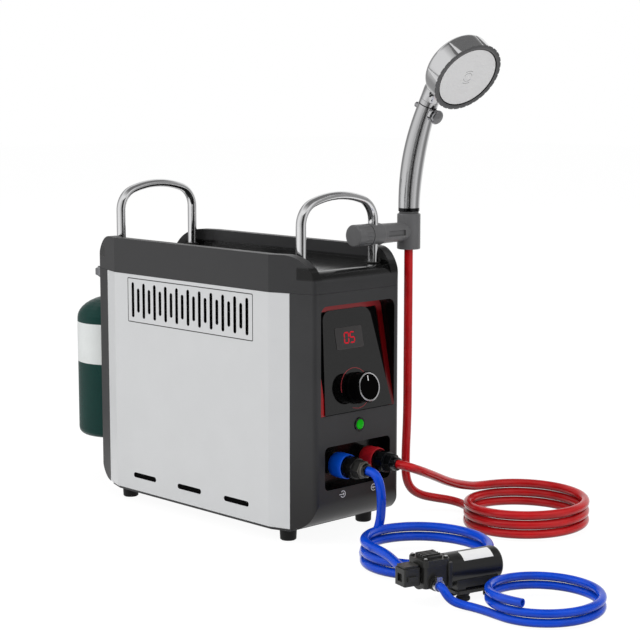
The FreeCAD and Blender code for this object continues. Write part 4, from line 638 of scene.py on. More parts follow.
        return (
            Finish("fitting_dark", shade(58, 54, 50), (0.24, 0.36), drawn(1400.0, 0.003), metallic=0.9),
            Finish("collar_blue", shade(0, 76, 196), worn=shade(96, 140, 216), **collar),
            Finish("collar_red", shade(178, 26, 36), worn=shade(220, 96, 96), **collar),
            Finish("inlet_nut", shade(8, 8, 9), (0.10, 0.20), grained(1800.0, 0.006), specular=0.3, wear=0.35,
                   worn=shade(120, 120, 116), zones=(hexagon, sleeve)),
            Finish("outlet_nut", shade(7, 8, 10), (0.08, 0.18), grained(1800.0, 0.006), wear=0.35,
                   worn=shade(110, 114, 120)),
            Finish("hose_red", shade(188, 16, 22), specular=0.3,
                   zones=painted_light_zones(shade(210, 44, 46), shade(112, 8, 12)), **hose),
            Finish("hose_blue", shade(0, 66, 196), specular=0.25,
                   zones=painted_light_zones(shade(30, 88, 224), shade(0, 30, 104)), **hose),
            Finish("pump_moulding", shade(36, 36, 35), (0.28, 0.42), grained(1500.0, 0.014), specular=0.35,
                   wear=0.45, worn=shade(104, 104, 104), dust=0.08),
            Finish("motor_can", shade(21, 21, 21), (0.24, 0.36), speckled(900.0, 0.008), specular=0.35,
                   wear=0.3, worn=shade(100, 100, 100), dust=0.06),
            Finish("clip_steel", shade(200, 200, 200), (0.18, 0.32), drawn(1500.0, 0.003), metallic=1.0),
        )

    @staticmethod
    def inside() -> tuple[Finish, ...]:
        """List the finishes of the gas side and of the works inside.

        Returns:
            The finishes.
        """
        return (
            Finish("brass", shade(196, 158, 96), (0.22, 0.36), drawn(1400.0, 0.003), metallic=1.0),
            Finish("copper", shade(190, 118, 82), (0.25, 0.42), drawn(700.0, 0.006), metallic=1.0,
                   variation=0.2),
            Finish("galvanised", shade(168, 170, 172), (0.35, 0.5), speckled(240.0, 0.006), metallic=1.0,
                   variation=0.15, handling_scale=60.0),
            Finish("ceramic", shade(226, 223, 214), (0.12, 0.22), speckled(600.0, 0.004)),
            Finish("circuit_board", shade(18, 92, 58), (0.25, 0.4), speckled(500.0, 0.02), variation=0.25,
                   handling_scale=120.0),
            Finish("die_cast", shade(142, 143, 146), (0.34, 0.5), speckled(900.0, 0.02), metallic=0.9,
                   wear=0.4, worn=shade(190, 190, 192), dust=0.12),
            Finish("bottle_green", shade(10, 54, 49), (0.20, 0.30), speckled(500.0, 0.01), specular=0.14,
                   variation=0.15, wear=0.3, worn=shade(70, 104, 96), dust=0.05),
            Finish("blank_label", shade(220, 223, 222), (0.3, 0.42), speckled(1500.0, 0.004), variation=0.05,
                   wear=0.3, worn=shade(120, 130, 126)),
        )

    @staticmethod
    def shower() -> tuple[Finish, ...]:
        """List the finishes of the handset and its holder.

        Returns:
            The finishes.
        """
        seam = (0.02, 0.02, 0.021)
        joint = Zone(seam, (Band((0.44268, 0.0, 0.89668), 503.85, 505.02, 0.24),))
        foot = Zone(seam, (Band(Z_AXIS, 351.0, 355.6, 0.15),))
        return (
            Finish("holder_grey", shade(99, 99, 100), (0.30, 0.42), grained(1600.0, 0.012), specular=0.35,
                   wear=0.3, worn=shade(136, 136, 138), dust=0.05),
            Finish("chrome", shade(206, 206, 207), (0.10, 0.16), **CHROMED),
            Finish("grip_chrome", shade(190, 190, 191), (0.05, 0.10), zones=(joint, foot), **CHROMED),
            Finish("spray_plate", shade(222, 222, 222), (0.36, 0.48), grained(1600.0, 0.006), specular=0.3,
                   variation=0.02),
            Finish("rim_grey", shade(80, 80, 81), (0.28, 0.4), grained(1600.0, 0.010), specular=0.4,
                   wear=0.35, worn=shade(150, 150, 152)),
            Finish("button_grey", shade(150, 150, 152), (0.16, 0.26), drawn(1200.0, 0.003), metallic=0.9),
        )


# ------------------------------------------------------------------ mesh making
Loop = list[bmesh.types.BMVert]


@dataclass(frozen=True)
class Plane:
    """Local frame on one face of the heater, with lengths in millimetres."""

    origin: Triple
    across: Triple
    up: Triple

    @property
    def out(self) -> Vector:
        """Direction away from the face."""
        return Vector(self.across).cross(Vector(self.up)).normalized()

    def at(self, across: float, up: float, out: float = 0.0) -> Vector:
        """Give a point of the frame in metres."""
        shift = Vector(self.across) * across + Vector(self.up) * up + self.out * out
        return (Vector(self.origin) + shift) * MM


class Blank:
    """A piece's mesh while it is made."""

    def __init__(self) -> None:
        """Open an empty mesh."""
        self.mesh = bmesh.new()

    def loop(self, points: Iterable[Vector]) -> Loop:
        """Add the vertices of one loop."""
        return [self.mesh.verts.new(point) for point in points]

    def skin(self, loops: Sequence[Loop], closed: bool = False, round_loops: bool = True) -> None:
        """Face the space between neighbouring loops.

        Args:
            loops: Loops of equal length, in order.
            closed: Whether the last loop joins the first.
            round_loops: Whether each loop closes on itself.
        """
        pairs = list(zip(loops, loops[1:]))
        if closed:
            pairs.append((loops[-1], loops[0]))
        count = len(loops[0])
        for near, far in pairs:
            for index in range(count if round_loops else count - 1):
                following = (index + 1) % count
                self.mesh.faces.new((near[index], near[following], far[following], far[index]))

    def strip(self, rows: Sequence[Loop]) -> None:
        """Skin a bar from the rows along its edges, and cap both ends.

        Args:
            rows: Loops of equal length, in order round the bar.
        """
        self.skin(rows, closed=True, round_loops=False)
        for end in (0, -1):
            self.mesh.faces.new([row[end] for row in rows])

    def slab(self, plane: Plane, outline: Sequence[Pair], low: float, high: float) -> None:
        """Raise a flat outline over a plane.

        Args:
            plane: The plane.
            outline: Corners of the outline on it.
            low: Height of the underside.
            high: Height of the top.
        """
        base, top = (self.loop(plane.at(u, v, height) for u, v in outline) for height in (low, high))
        self.skin([base, top])
        self.mesh.faces.new(top)
        self.mesh.faces.new(list(reversed(base)))

    def ribbon(self, plane: Plane, outlines: Iterable[Sequence[Pair]], low: float, high: float,
               closed: bool = True) -> None:
        """Raise the strip between two outlines over a plane.

        Args:
            plane: The plane.
            outlines: The outer and the inner outline on it.
            low: Height of the underside.
            high: Height of the top.
            closed: Whether the outlines close on themselves.
        """
        outer, inner = outlines
        rows = [self.loop(plane.at(u, v, height) for u, v in outline)
                for outline, height in ((outer, low), (outer, high), (inner, high), (inner, low))]
        if closed:
            self.skin(rows, closed=True)
        else:
            self.strip(rows)

    def turn(self, profile: Iterable[Pair], origin: Vector, axis: Vector, segments: int = 64,
             closed: bool = True) -> None:
        """Turn a profile round an axis.

        Args:
            profile: Radius and distance along the axis, in millimetres.
            origin: Start of the axis in metres.
            axis: Direction of the axis.
            segments: Steps round the axis.
            closed: Whether the profile's last point joins its first.
        """
        axis = axis.normalized()
        side = axis.orthogonal().normalized()
        loops = [self.ring(origin + axis * along * MM, side, axis.cross(side), radius, segments)
                 for radius, along in profile]
        self.skin(loops, closed=closed)

    def ring(self, centre: Vector, side: Vector, other: Vector, radius: float, segments: int) -> Loop:
        """Add one round loop.

        Args:
            centre: Its centre in metres.
            side: Direction in its plane where it starts.
            other: Direction in its plane across that one.
            radius: Its radius in millimetres.
            segments: Number of its vertices.

        Returns:
            The loop.
        """
        angles = (2 * math.pi * step / segments for step in range(segments))
        return self.loop(centre + (side * math.cos(a) + other * math.sin(a)) * radius * MM for a in angles)

    def close(self, name: str, smooth_angle: float) -> bpy.types.Mesh:
        """Finish the mesh.

        Args:
            name: Name of the mesh.
            smooth_angle: Angle below which edges shade smooth, in degrees.

        Returns:
            The mesh.
        """
        bmesh.ops.recalc_face_normals(self.mesh, faces=self.mesh.faces)
        for edge in self.mesh.edges:
            sharp = len(edge.link_faces) == 2 and edge.calc_face_angle(0.0) > math.radians(smooth_angle)
            edge.smooth = not sharp
        for face in self.mesh.faces:
            face.smooth = True
        data = bpy.data.meshes.new(name)
        self.mesh.to_mesh(data)
        self.mesh.free()
        return data


def arc(radius: float, start: float, end: float, steps: int, centre: Pair = (0.0, 0.0)) -> list[Pair]:
    """Give points along an arc.

    Args:
        radius: Radius of the arc.
        start: Angle of the first point, in degrees.
        end: Angle of the last point, in degrees.
        steps: Number of steps between them.
        centre: Centre of the arc.

    Returns:
        The points.
    """
    angles = (math.radians(start + (end - start) * step / steps) for step in range(steps + 1))
    return [(centre[0] + radius * math.cos(a), centre[1] + radius * math.sin(a)) for a in angles]


def rectangle(low: Pair, high: Pair) -> list[Pair]:
    """Give the outline of a rectangle between two corners."""
    return [low, (high[0], low[1]), high, (low[0], high[1])]


def rounded_frame(half_u: float, half_v: float, radius: float, centre: Pair) -> list[Pair]:
    """Give the outline of a rectangle with round corners.

    Args:
        half_u: Half of its width.
        half_v: Half of its height.
        radius: Radius of its corners.
        centre: Its centre.

    Returns:
        The outline.
    """
    points: list[Pair] = []
    for start, su, sv in ((0.0, 1, 1), (90.0, -1, 1), (180.0, -1, -1), (270.0, 1, -1)):
        corner = (centre[0] + su * (half_u - radius), centre[1] + sv * (half_v - radius))
        points += arc(radius, start, start + 90.0, 6, corner)
    return points


# ------------------------------------------------------------------ sub-assemblies
PRINTED: Pair = (-0.02, 0.05)


@dataclass
class Assembly:
    """A part of the heater that is dressed and fitted together."""

    book: FinishBook
    nodes: dict[str, bpy.types.Object]

    def dress(self, **finishes: str) -> None:
        """Give each named node its finish.

        Args:
            **finishes: Name of a finish by the name of each node.
        """
        for node, finish in finishes.items():
            for slot in self.nodes[node].material_slots:
                slot.material = self.book.get(finish)
            LOG.info("node %s: %s", node, finish)

    def fit(self, blank: Blank, name: str, finish: str, body: str, slot: str, bevel: float = 0.0,
            smooth_angle: float = 40.0) -> bpy.types.Object:
        """Make a finished mesh a piece of the heater.

        Args:
            blank: The mesh.
            name: Name of the piece.
            finish: Name of its finish.
            body: The body it rides on.
            slot: Not used.
            bevel: Width of its edge rounding.
            smooth_angle: Angle below which edges shade smooth, in degrees.

        Returns:
            The new piece.
        """
        piece = put(name, blank.close(name, smooth_angle))
        piece.data.materials.append(self.book.get(finish))
        if bevel > 0.0:
            rounding = piece.modifiers.new("rounding", "BEVEL")
            rounding.width = bevel * MM
            rounding.segments = 2
            rounding.limit_method = "ANGLE"
        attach(piece, body)
        LOG.info("piece %s: %d faces on %s", name, len(piece.data.polygons), body)
        return piece


@dataclass
class Hoses(Assembly):
    """The hot hose to the shower, the feed from the pump and the suction hose."""

    radius: float = 5.0
    suction_radius: float = 4.2
    bore_share: float = 0.62
    turn_points: int = 16
    coil_spread: float = 0.981
    hot_out: tuple[Triple, ...] = (
        (227.0, 23.5, 85.0), (234.0, 23.5, 85.0), (242.0, 28.0, 83.0), (243.0, 42.0, 77.5),
        (239.0, 60.0, 70.5), (234.0, 80.0, 62.4), (229.0, 100.0, 54.2), (224.0, 122.0, 46.7),
        (220.5, 146.0, 40.0), (219.0, 162.0, 36.6))
    hot_riser: tuple[Triple, ...] = (
        (218.0, 152.0, 6.0), (205.0, 166.0, 7.6), (190.0, 171.0, 9.3), (175.0, 167.0, 11.5),
        (163.0, 155.0, 14.0), (156.0, 139.0, 18.5), (153.2, 124.5, 27.0), (153.2, 115.0, 41.0),
        (154.4, 112.2, 64.0), (156.3, 113.0, 115.0), (156.5, 113.0, 150.0), (156.5, 113.0, 309.6))
    feed_in: tuple[Triple, ...] = (
        (227.0, -23.5, 85.0), (234.0, -23.5, 85.0), (241.5, -23.4, 80.0), (245.5, -22.5, 66.0),
        (244.2, -20.5, 48.0), (240.6, -18.8, 31.0), (238.4, -23.0, 18.0), (239.0, -36.0, 9.0),
        (245.0, -49.0, 5.4))
    feed_out: tuple[Triple, ...] = (
        (298.5, -87.9, 27.0), (314.0, -92.0, 26.9), (331.0, -97.8, 25.8), (347.6, -105.2, 23.6),
        (363.5, -111.4, 22.0), (383.74, -116.46, 22.0))
    suction_in: tuple[Triple, ...] = (
        (418.86, -125.28, 22.0), (427.0, -127.32, 22.0), (432.0, -126.2, 14.5), (436.0, -121.5, 8.5),
        (443.0, -116.0, 5.8), (454.0, -112.5, 5.0), (467.0, -112.0, 4.6))
    hot_coil: Coil = ((285.5, 171.4), 65.5, 180.0, -2.903, (35.5, 5.1))
    feed_coil: Coil = ((313.9, -25.2), 64.5, 213.0, 2.12, (5.1, 27.6))
    suction_coil: Coil = ((499.2, -62.0), 53.4, 250.0, 2.1, (4.4, 23.2))

    def coil(self, centre: Pair, radius: float, start: float, turns: float, rise: Pair) -> list[Triple]:
        """Give the control points of a coil.

        Args:
            centre: Middle of the coil on the ground.
            radius: Radius of the hose's centre line.
            start: Angle where the coil begins, in degrees.
            turns: Number of turns, negative for clockwise.
            rise: Height of the centre line at the start and at the end.

        Returns:
            The points from the start to the end.
        """
        steps = round(abs(turns) * self.turn_points)
        flat = arc(radius / self.coil_spread, start, start + 360.0 * turns, steps, centre)
        return [(x, y, rise[0] + (rise[1] - rise[0]) * step / steps) for step, (x, y) in enumerate(flat)]

    def hose(self, name: str, points: Sequence[Triple], radius: float, finish: str) -> bpy.types.Object:
        """Make one hose as a round NURBS curve.

        Args:
            name: Name of the hose.
            points: Its control points.
            radius: Its outer radius.
            finish: Name of its finish.

        Returns:
            The hose.
        """
        curve = bpy.data.curves.new(name, "CURVE")
        curve.dimensions = "3D"
        curve.bevel_depth = radius * MM
        curve.bevel_resolution = 7
        curve.resolution_u = 6
        curve.use_fill_caps = False
        spline = curve.splines.new("NURBS")
        spline.points.add(len(points) - 1)
        for control, point in zip(spline.points, points):
            control.co = (*(value * MM for value in point), 1.0)
        spline.order_u = 3
        spline.use_endpoint_u = True
        curve.materials.append(self.book.get(finish))
        piece = put(name, curve)
        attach(piece, "heater")
        LOG.info("hose %s: %d control points", name, len(points))
        return piece

    def cut_end(self, before: Triple, end: Triple) -> bpy.types.Object:
        """Make the wall and bore at the cut end of the suction hose.

        Args:
            before: The hose's last control point but one.
            end: Its last control point.

        Returns:
            The end piece.
        """
        r = self.suction_radius
        bore = r * self.bore_share
        blank = Blank()
        blank.turn([(r, -3.0), (r, -0.2), (r - 0.25, 0.05), (bore + 0.15, 0.05), (bore, -0.2), (bore, -9.0),
                    (0.02, -9.0)], Vector(end) * MM, Vector(end) - Vector(before), 32, closed=False)
        return self.fit(blank, "suction_hose_mouth", "hose_blue", "heater", "hose_blue")

    def build(self) -> None:
        hot = [*self.hot_out, *self.coil(*self.hot_coil)[1:], *self.hot_riser]
        piece = self.hose("hot_hose", hot, self.radius, "hose_red")
        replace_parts(piece, "red_hose_out", "red_coil", "red_hose_riser")
        feed = [*self.feed_in, *self.coil(*self.feed_coil), *self.feed_out]
        piece = self.hose("feed_hose", feed, self.radius, "hose_blue")
        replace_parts(piece, "feed_hose_in", "feed_coil", "feed_hose_to_pump")
        suction = [*self.suction_in, *self.coil(*self.suction_coil)]
        piece = self.hose("suction_line", suction, self.suction_radius, "hose_blue")
        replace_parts(piece, "suction_hose", "suction_coil")
        mouth = self.cut_end(*suction[-2:])


@dataclass
class Casing(Assembly):
    """End shells, side sheets, cover, grille, feet and carry handles."""

    side_y: float = -82.0
    sheet: float = 1.25
    frame_half: float = 109.3
    frame_z: Pair = (218.2, 270.3)
    frame_corners: Pair = (1.6, 0.9)
    line: float = 1.05
    intake_x: Triple = (-82.0, -1.0, 80.0)
    intake_z: float = 36.0
    backing_half: Pair = (24.0, 6.0)
    backing_corner: float = 1.5
    backing_depth: float = 0.45
    handle_x: Pair = (156.5, -154.7)
    leg_y: Pair = (-55.0, 55.0)
    washer_rings: tuple[Triple, ...] = (
        (8.3, 6.2, 296.9), (8.3, 6.2, 297.9), (7.2, 5.2, 298.8), (6.3, 4.4, 298.8), (6.3, 4.4, 296.9))

    def side(self, depth: float = 0.0) -> Plane:
        """Give the frame of the vented side, or of a plane so deep behind it."""
        return Plane((0.0, self.side_y + depth, 0.0), X_AXIS, Z_AXIS)

    def vent_frame(self) -> None:
        """Print the thin dark frame round the vent slots."""
        middle = (0.0, sum(self.frame_z) / 2)
        half = (self.frame_z[1] - self.frame_z[0]) / 2
        outlines = [rounded_frame(self.frame_half - inset, half - inset, radius, middle)
                    for inset, radius in zip((0.0, self.line), self.frame_corners)]
        blank = Blank()
        blank.ribbon(self.side(), outlines, *PRINTED)
        self.fit(blank, "vent_frame_line", "printed_black", "heater", "nut_black")

    def intake_shade_backing(self) -> None:
        """Back the low intake slots with a thin black sheet, painted shade that makes them read dark."""
        blank = Blank()
        for x in self.intake_x:
            outline = rounded_frame(*self.backing_half, self.backing_corner, (x, self.intake_z))
            blank.slab(self.side(self.sheet), outline, -self.backing_depth, 0.0)
        self.fit(blank, "intake_shade_backing", "matt_black", "heater", "sheet_dark")

    def handle_washers(self) -> None:
        """Seat a dark moulded washer under each leg of the carry handles."""
        circle = arc(1.0, 0.0, 345.0, 23)
        blank = Blank()
        for x in self.handle_x:
            for y in self.leg_y:
                blank.skin([blank.loop(Vector((x + long * u, y + wide * v, z)) * MM for u, v in circle)
                            for long, wide, z in self.washer_rings])
        self.fit(blank, "handle_washers", "rubber", "heater", "rubber")

    def build(self) -> None:
        """Dress the casing and add its printed line, the black sheets of painted shade behind the intake
        slots, and washers.
        """
        self.dress(base_pan="dark_sheet", feet="rubber", front_housing="end_shell", rear_housing="rear_shell",
                   top_cover="cover_shell", side_panel_vented="silver_panel", side_panel_plain="silver_panel",
                   vent_grille="vent_black", handle_front="handle_steel", handle_rear="handle_steel")
        self.vent_frame()
        self.intake_shade_backing()
        self.handle_washers()


@dataclass
class ControlPanel(Assembly):
    """Inclined fascia with its display, dial, knob and power button."""

    tilt: float = 11.0
    foot: Triple = (187.65, 0.0, 141.8)
    centre_y: float = -1.0
    window_v: float = 80.5
    window_top: float = 3.6
    fascia_top: float = 3.0
    knob_v: float = 25.2
    knob_radius: float = 17.3
    knob_top: float = 24.4
    ring_profile: tuple[Pair, ...] = (
        (1.75, -0.9), (1.6, -0.2), (1.95, 0.15), (2.6, 0.15), (3.1, -0.15), (3.3, -0.9))
    pointer_half: float = 0.6
    pointer_span: Pair = (6.6, 12.4)
    pointer_depths: Pair = (1.35, 0.72)
    dial_radii: Pair = (22.4, 21.7)
    dial_angles: Pair = (-112.0, 186.0)
    digit_size: Pair = (6.4, 11.2)
    digit_pitch: float = 8.8
    digit_slant: float = 0.5
    digit_bar: float = 1.5
    bar_gap: float = 0.25
    bar_lifts: Pair = (-0.05, 0.06)
    shown: tuple[str, str] = ("abcdef", "acdfg")

    @property
    def plane(self) -> Plane:
        """Frame of the inclined panel."""
        lean = math.radians(self.tilt)
        return Plane(self.foot, Y_AXIS, (-math.sin(lean), 0.0, math.cos(lean)))

    def bar(self, start: Pair, end: Pair) -> list[Pair]:
        """Give the six-cornered outline of one bar of a digit.

        Args:
            start: Where the bar begins.
            end: Where it ends.

        Returns:
            The outline.
        """
        run = (Vector(end) - Vector(start)).normalized()
        reach = run * self.digit_bar / 2
        side = Vector((-reach.y, reach.x))
        first = Vector(start) + run * self.bar_gap
        last = Vector(end) - run * self.bar_gap
        return [tuple(point) for point in (first, first + reach + side, last - reach + side, last,
                                           last - reach - side, first + reach - side)]

    def digits(self) -> None:
        """Light two seven-bar digits in the window."""
        width, height = self.digit_size
        places = {
            "a": ((0, 2), (1, 2)), "b": ((1, 2), (1, 1)), "c": ((1, 1), (1, 0)), "d": ((0, 0), (1, 0)),
            "e": ((0, 1), (0, 0)), "f": ((0, 2), (0, 1)), "g": ((0, 1), (1, 1)),
        }
        low, high = (self.window_top + lift for lift in self.bar_lifts)
        blank = Blank()
        for index, bars in enumerate(self.shown):
            middle = self.centre_y + (index - 0.5) * self.digit_pitch
            for name in bars:
                ends = [(middle + (column - 0.5) * width + (row - 1) * self.digit_slant,
                         self.window_v + (row - 1) * height / 2) for column, row in places[name]]
                blank.slab(self.plane, self.bar(*ends), low, high)
        self.fit(blank, "display_digits", "glowing_red", "heater", "trim_red")

    def dial_ring(self) -> None:
        """Print the temperature dial's ring on the fascia."""
        centre = (self.centre_y, self.knob_v)
        outlines = [arc(radius, *self.dial_angles, 90, centre) for radius in self.dial_radii]
        low, high = (self.fascia_top + reach for reach in PRINTED)
        blank = Blank()
        blank.ribbon(self.plane, outlines, low, high, closed=False)
        self.fit(blank, "dial_ring", "printed_red", "heater", "trim_red")

    def knob_ring(self) -> None:
        """Fit the bright chamfered ring round the knob's front."""
        profile = [(self.knob_radius - inset, self.knob_top + rise) for inset, rise in self.ring_profile]
        blank = Blank()
        blank.turn(profile, self.plane.at(self.centre_y, self.knob_v), self.plane.out, 96)
        self.fit(blank, "knob_bright_ring", "bright_ring", "temperature_knob", "bright_metal")

    def knob_pointer(self) -> None:
        """Fill the knob's pointer slot with white."""
        left, right = (self.centre_y + side * self.pointer_half for side in (-1, 1))
        low, high = (self.knob_v + reach for reach in self.pointer_span)
        blank = Blank()
        floor, top = (self.knob_top - depth for depth in self.pointer_depths)
        blank.slab(self.plane, rectangle((left, low), (right, high)), floor, top)
        self.fit(blank, "knob_pointer", "printed_white", "temperature_knob", "spray_grey", bevel=0.08)

    def build(self) -> None:
        """Dress the controls and add the display, dial and knob details."""
        self.dress(control_trim="red_trim", control_fascia="fascia_plate", display_window="smoked_window",
                   temperature_knob="knob_black", power_bezel="bezel_dark", power_button="lit_green")
        self.digits()
        self.dial_ring()
        self.knob_ring()
        self.knob_pointer()


@dataclass
class WaterPorts(Assembly):
    """Fittings, release collars and hose nuts, with their printed flow marks."""

    face_x: float = 188.65
    marks: tuple[tuple[Pair, int, float], ...] = (((-23.1, 53.2), 1, 205.0), ((24.4, 53.0), -1, 25.0))
    mark_radius: float = 3.9
    mark_sweep: float = 290.0
    stroke: float = 0.8
    tail: float = 1.6
    tip: float = 1.3
    arrow_head: tuple[Pair, ...] = ((-1.4, -1.8), (0.9, 0.0), (-1.4, 1.8), (-0.7, 0.0))
    head_lift: float = 0.005

    def flow_marks(self) -> None:
        """Print an arrow in an open ring under each connection."""
        plane = Plane((self.face_x, 0.0, 0.0), Y_AXIS, Z_AXIS)
        half = self.stroke / 2
        low, high = PRINTED
        blank = Blank()
        for (u, v), way, start in self.marks:
            rings = [arc(radius, start, start + self.mark_sweep, 40, (u, v))
                     for radius in (self.mark_radius, self.mark_radius - self.stroke)]
            blank.ribbon(plane, rings, low, high, closed=False)
            tail = u - way * (self.mark_radius + self.tail)
            tip = u + way * self.tip
            blank.slab(plane, rectangle((tail, v - half), (tip, v + half)), low, high)
            head = [(tip + way * along, v + across) for along, across in self.arrow_head]
            blank.slab(plane, head, low, high + self.head_lift)
        self.fit(blank, "flow_marks", "printed_white", "heater", "spray_grey")

    def build(self) -> None:
        """Dress the connections and print their marks."""
        self.dress(inlet_fitting="fitting_dark", outlet_fitting="fitting_dark", inlet_collar="collar_blue",
                   outlet_collar="collar_red", inlet_hose_nut="inlet_nut", outlet_hose_nut="outlet_nut")
        self.flow_marks()


@dataclass
class GasSide(Assembly):
    """Gas cylinder with its blank band, valve and regulator."""

    axis_x: float = -238.65
    radius: float = 49.0
    band_z: Pair = (149.0, 199.0)
    band_lifts: Pair = (-0.05, 0.12)

    def blank_band(self) -> None:
        """Wrap the plain pale band round the cylinder."""
        low, high = self.band_z
        inner, outer = (self.radius + lift for lift in self.band_lifts)
        blank = Blank()
        blank.turn([(inner, low), (outer, low + 0.1), (outer, high - 0.1), (inner, high)],
                   Vector((self.axis_x, 0.0, 0.0)) * MM, Vector(Z_AXIS), 128)
        self.fit(blank, "cylinder_blank_band", "blank_label", "gas_cylinder", "cylinder_green")

    def build(self) -> None:
        """Dress the gas side and wrap its band."""
        self.dress(regulator="die_cast", gas_cylinder="bottle_green", cylinder_valve="brass")
        self.blank_band()


@dataclass
class Handset(Assembly):
    """Clip-on holder, hose cone and hand shower."""

    face_centre: Triple = (250.0, 104.64, 500.7)
    tilt: float = 35.04
    turned: float = -7.56
    rim_radius: float = 41.8
    rim_depth: float = 1.3
    drum_radius: float = 40.0
    drum_steps: int = 11
    drum_step: float = 2.0
    drum_back: tuple[Pair, ...] = (
        (23.0, 0.35), (24.8, 1.2), (26.4, 2.6), (27.8, 4.8), (29.0, 8.0), (30.4, 14.0), (31.8, 22.0),
        (32.8, 31.0), (33.2, 39.4))
    flutes: int = 7
    flute_turn: float = 29.4
    flute_depth: float = 2.3
    flute_half: float = 5.2
    flute_end: float = 26.0
    notches: int = 30
    notch_half: float = 1.7
    plate_radius: float = 36.5
    plate_depth: float = 1.0
    gasket_profile: tuple[Pair, ...] = ((-1.1, -1.3), (-1.0, -0.85), (0.25, -0.7), (0.25, -1.3))
    plate_lifts: Pair = (-0.05, 0.06)
    face_arcs: tuple[Triple, ...] = (
        (5.2, 20.0, 160.0), (5.2, 200.0, 340.0), (8.0, 60.0, 130.0), (8.0, 240.0, 310.0))
    arc_half: float = 0.2
    handle_end: Triple = (187.0, 113.0, 476.7)
    handle_radius: float = 10.9
    neck_stations: tuple[tuple[Triple, Triple, float], ...] = (
        ((0.1, 0.0, 0.2), (0.4617, 0.0, 0.887), 0.0), ((2.3, -0.1, 4.2), (0.50, 0.0, 0.866), 0.1),
        ((6.4, -0.6, 10.2), (0.62, -0.04, 0.78), 0.7), ((13.5, -1.6, 16.4), (0.80, -0.08, 0.59), 1.6),
        ((24.0, -3.0, 21.0), (0.92, -0.10, 0.37), 2.0), ((37.3, -4.4, 25.2), (0.95, -0.10, 0.30), 1.0))
    nozzle_rings: tuple[tuple[float, int], ...] = ((9.0, 6), (15.0, 12), (21.0, 18), (27.0, 24), (32.5, 30))
    nozzle_profile: tuple[Pair, ...] = ((0.5, 0.0), (0.42, 0.16), (0.26, 0.20), (0.14, 0.14), (0.02, 0.06))

    @property
    def plane(self) -> Plane:
        """Frame of the spray face.

        Returns:
            The frame, with its normal along the spray.
        """
        lean = math.radians(self.tilt)
        turn = math.radians(self.turned)
        up = (math.sin(lean) * math.cos(turn), math.sin(lean) * math.sin(turn), math.cos(lean))
        return Plane(self.face_centre, (-math.sin(turn), math.cos(turn), 0.0), up)

    def flute_cut(self, angle: float, fade: float) -> float:
        """Give how deep the flutes cut.

        Args:
            angle: Angle round the head, in degrees.
            fade: Share of the flute that is left at this depth.

        Returns:
            The cut.
        """
        pitch = 360.0 / self.flutes
        off = abs((angle - self.flute_turn + pitch / 2) % pitch - pitch / 2)
        return self.flute_depth * fade * max(0.0, 1.0 - off / max(0.4, self.flute_half * fade))

    def notch_cut(self, angle: float, bite: float) -> float:
        """Give how deep the rim's notches cut.

        Args:
            angle: Angle round the head, in degrees.
            bite: The cut at a notch's middle.

        Returns:
            The cut.
        """
        pitch = 360.0 / self.notches
        off = abs(angle % pitch - pitch / 2)
        return bite * max(0.0, 1.0 - (off / self.notch_half) ** 2)

    def shaped(self, rows: Iterable[Triple], cut: Callable[[float, float], float], closed: bool) -> Blank:
        """Turn a profile round the head's axis and cut it back with the angle.

        Args:
            rows: Depth behind the face, radius and strength of the cut.
            cut: Gives the cut from an angle in degrees and the strength.
            closed: Whether the last row joins the first, or is capped.

        Returns:
            The mesh.
        """
        plane = self.plane
        blank = Blank()
        loops = []
        for depth, radius, strength in rows:
            reaches = ((radius - cut(angle, strength), math.radians(angle)) for angle in range(360))
            loops.append(blank.loop(plane.at(reach * math.cos(turn), reach * math.sin(turn), -depth)
                                    for reach, turn in reaches))
        blank.skin(loops, closed=closed)
        if not closed:
            blank.mesh.faces.new(loops[-1])
        return blank

    def drum(self) -> bpy.types.Object:
        """Make the deep chrome drum with its tapering flutes and domed back.

        Returns:
            The drum.
        """
        r = self.drum_radius
        rim = self.rim_depth
        profile = [(rim - 0.3, r - 2.4), (rim - 0.3, r - 0.3), (rim + 0.3, r)]
        profile += [(rim + self.drum_step * step, r) for step in range(1, self.drum_steps)]
        profile += [(depth, r - inset) for depth, inset in self.drum_back]
        rows = [(depth, radius, max(0.0, 1.0 - (depth - rim) / (self.flute_end - rim)))
                for depth, radius in profile]
        return self.fit(self.shaped(rows, self.flute_cut, closed=False), "head_drum", "chrome", "handset",
                        "chrome", smooth_angle=24.0)

    def neck(self) -> bpy.types.Object:
        """Make the short neck from the grip's end into the drum's back.

        Returns:
            The neck.
        """
        blank = Blank()
        side = Vector(self.plane.across)
        loops = []
        for shift, heading, growth in self.neck_stations:
            along = Vector(heading).normalized()
            first = (side - along * side.dot(along)).normalized()
            centre = (Vector(self.handle_end) + Vector(shift)) * MM
            loops.append(blank.ring(centre, first, along.cross(first), self.handle_radius + growth, 64))
        blank.skin(loops)
        blank.mesh.faces.new(loops[-1])
        return self.fit(blank, "head_neck", "grip_chrome", "handset", "chrome", smooth_angle=60.0)

    def rim(self) -> bpy.types.Object:
        """Make the dark rim with its gripping notches.

        Returns:
            The rim.
        """
        inner = self.plate_radius + 0.1
        r = self.rim_radius
        deep = self.rim_depth
        rows = [(2.2, inner, 0.0), (0.4, inner, 0.0), (0.0, inner + 0.7, 0.0), (0.0, r - 1.2, 0.2),
                (0.15, r - 0.4, 0.8), (0.5, r, 1.0), (deep - 0.3, r, 1.0), (deep, r - 0.5, 0.6),
                (deep, r - 2.6, 0.0), (2.2, r - 3.2, 0.0)]
        return self.fit(self.shaped(rows, self.notch_cut, closed=True), "head_rim", "rim_grey", "handset",
                        "rim_grey", smooth_angle=35.0)

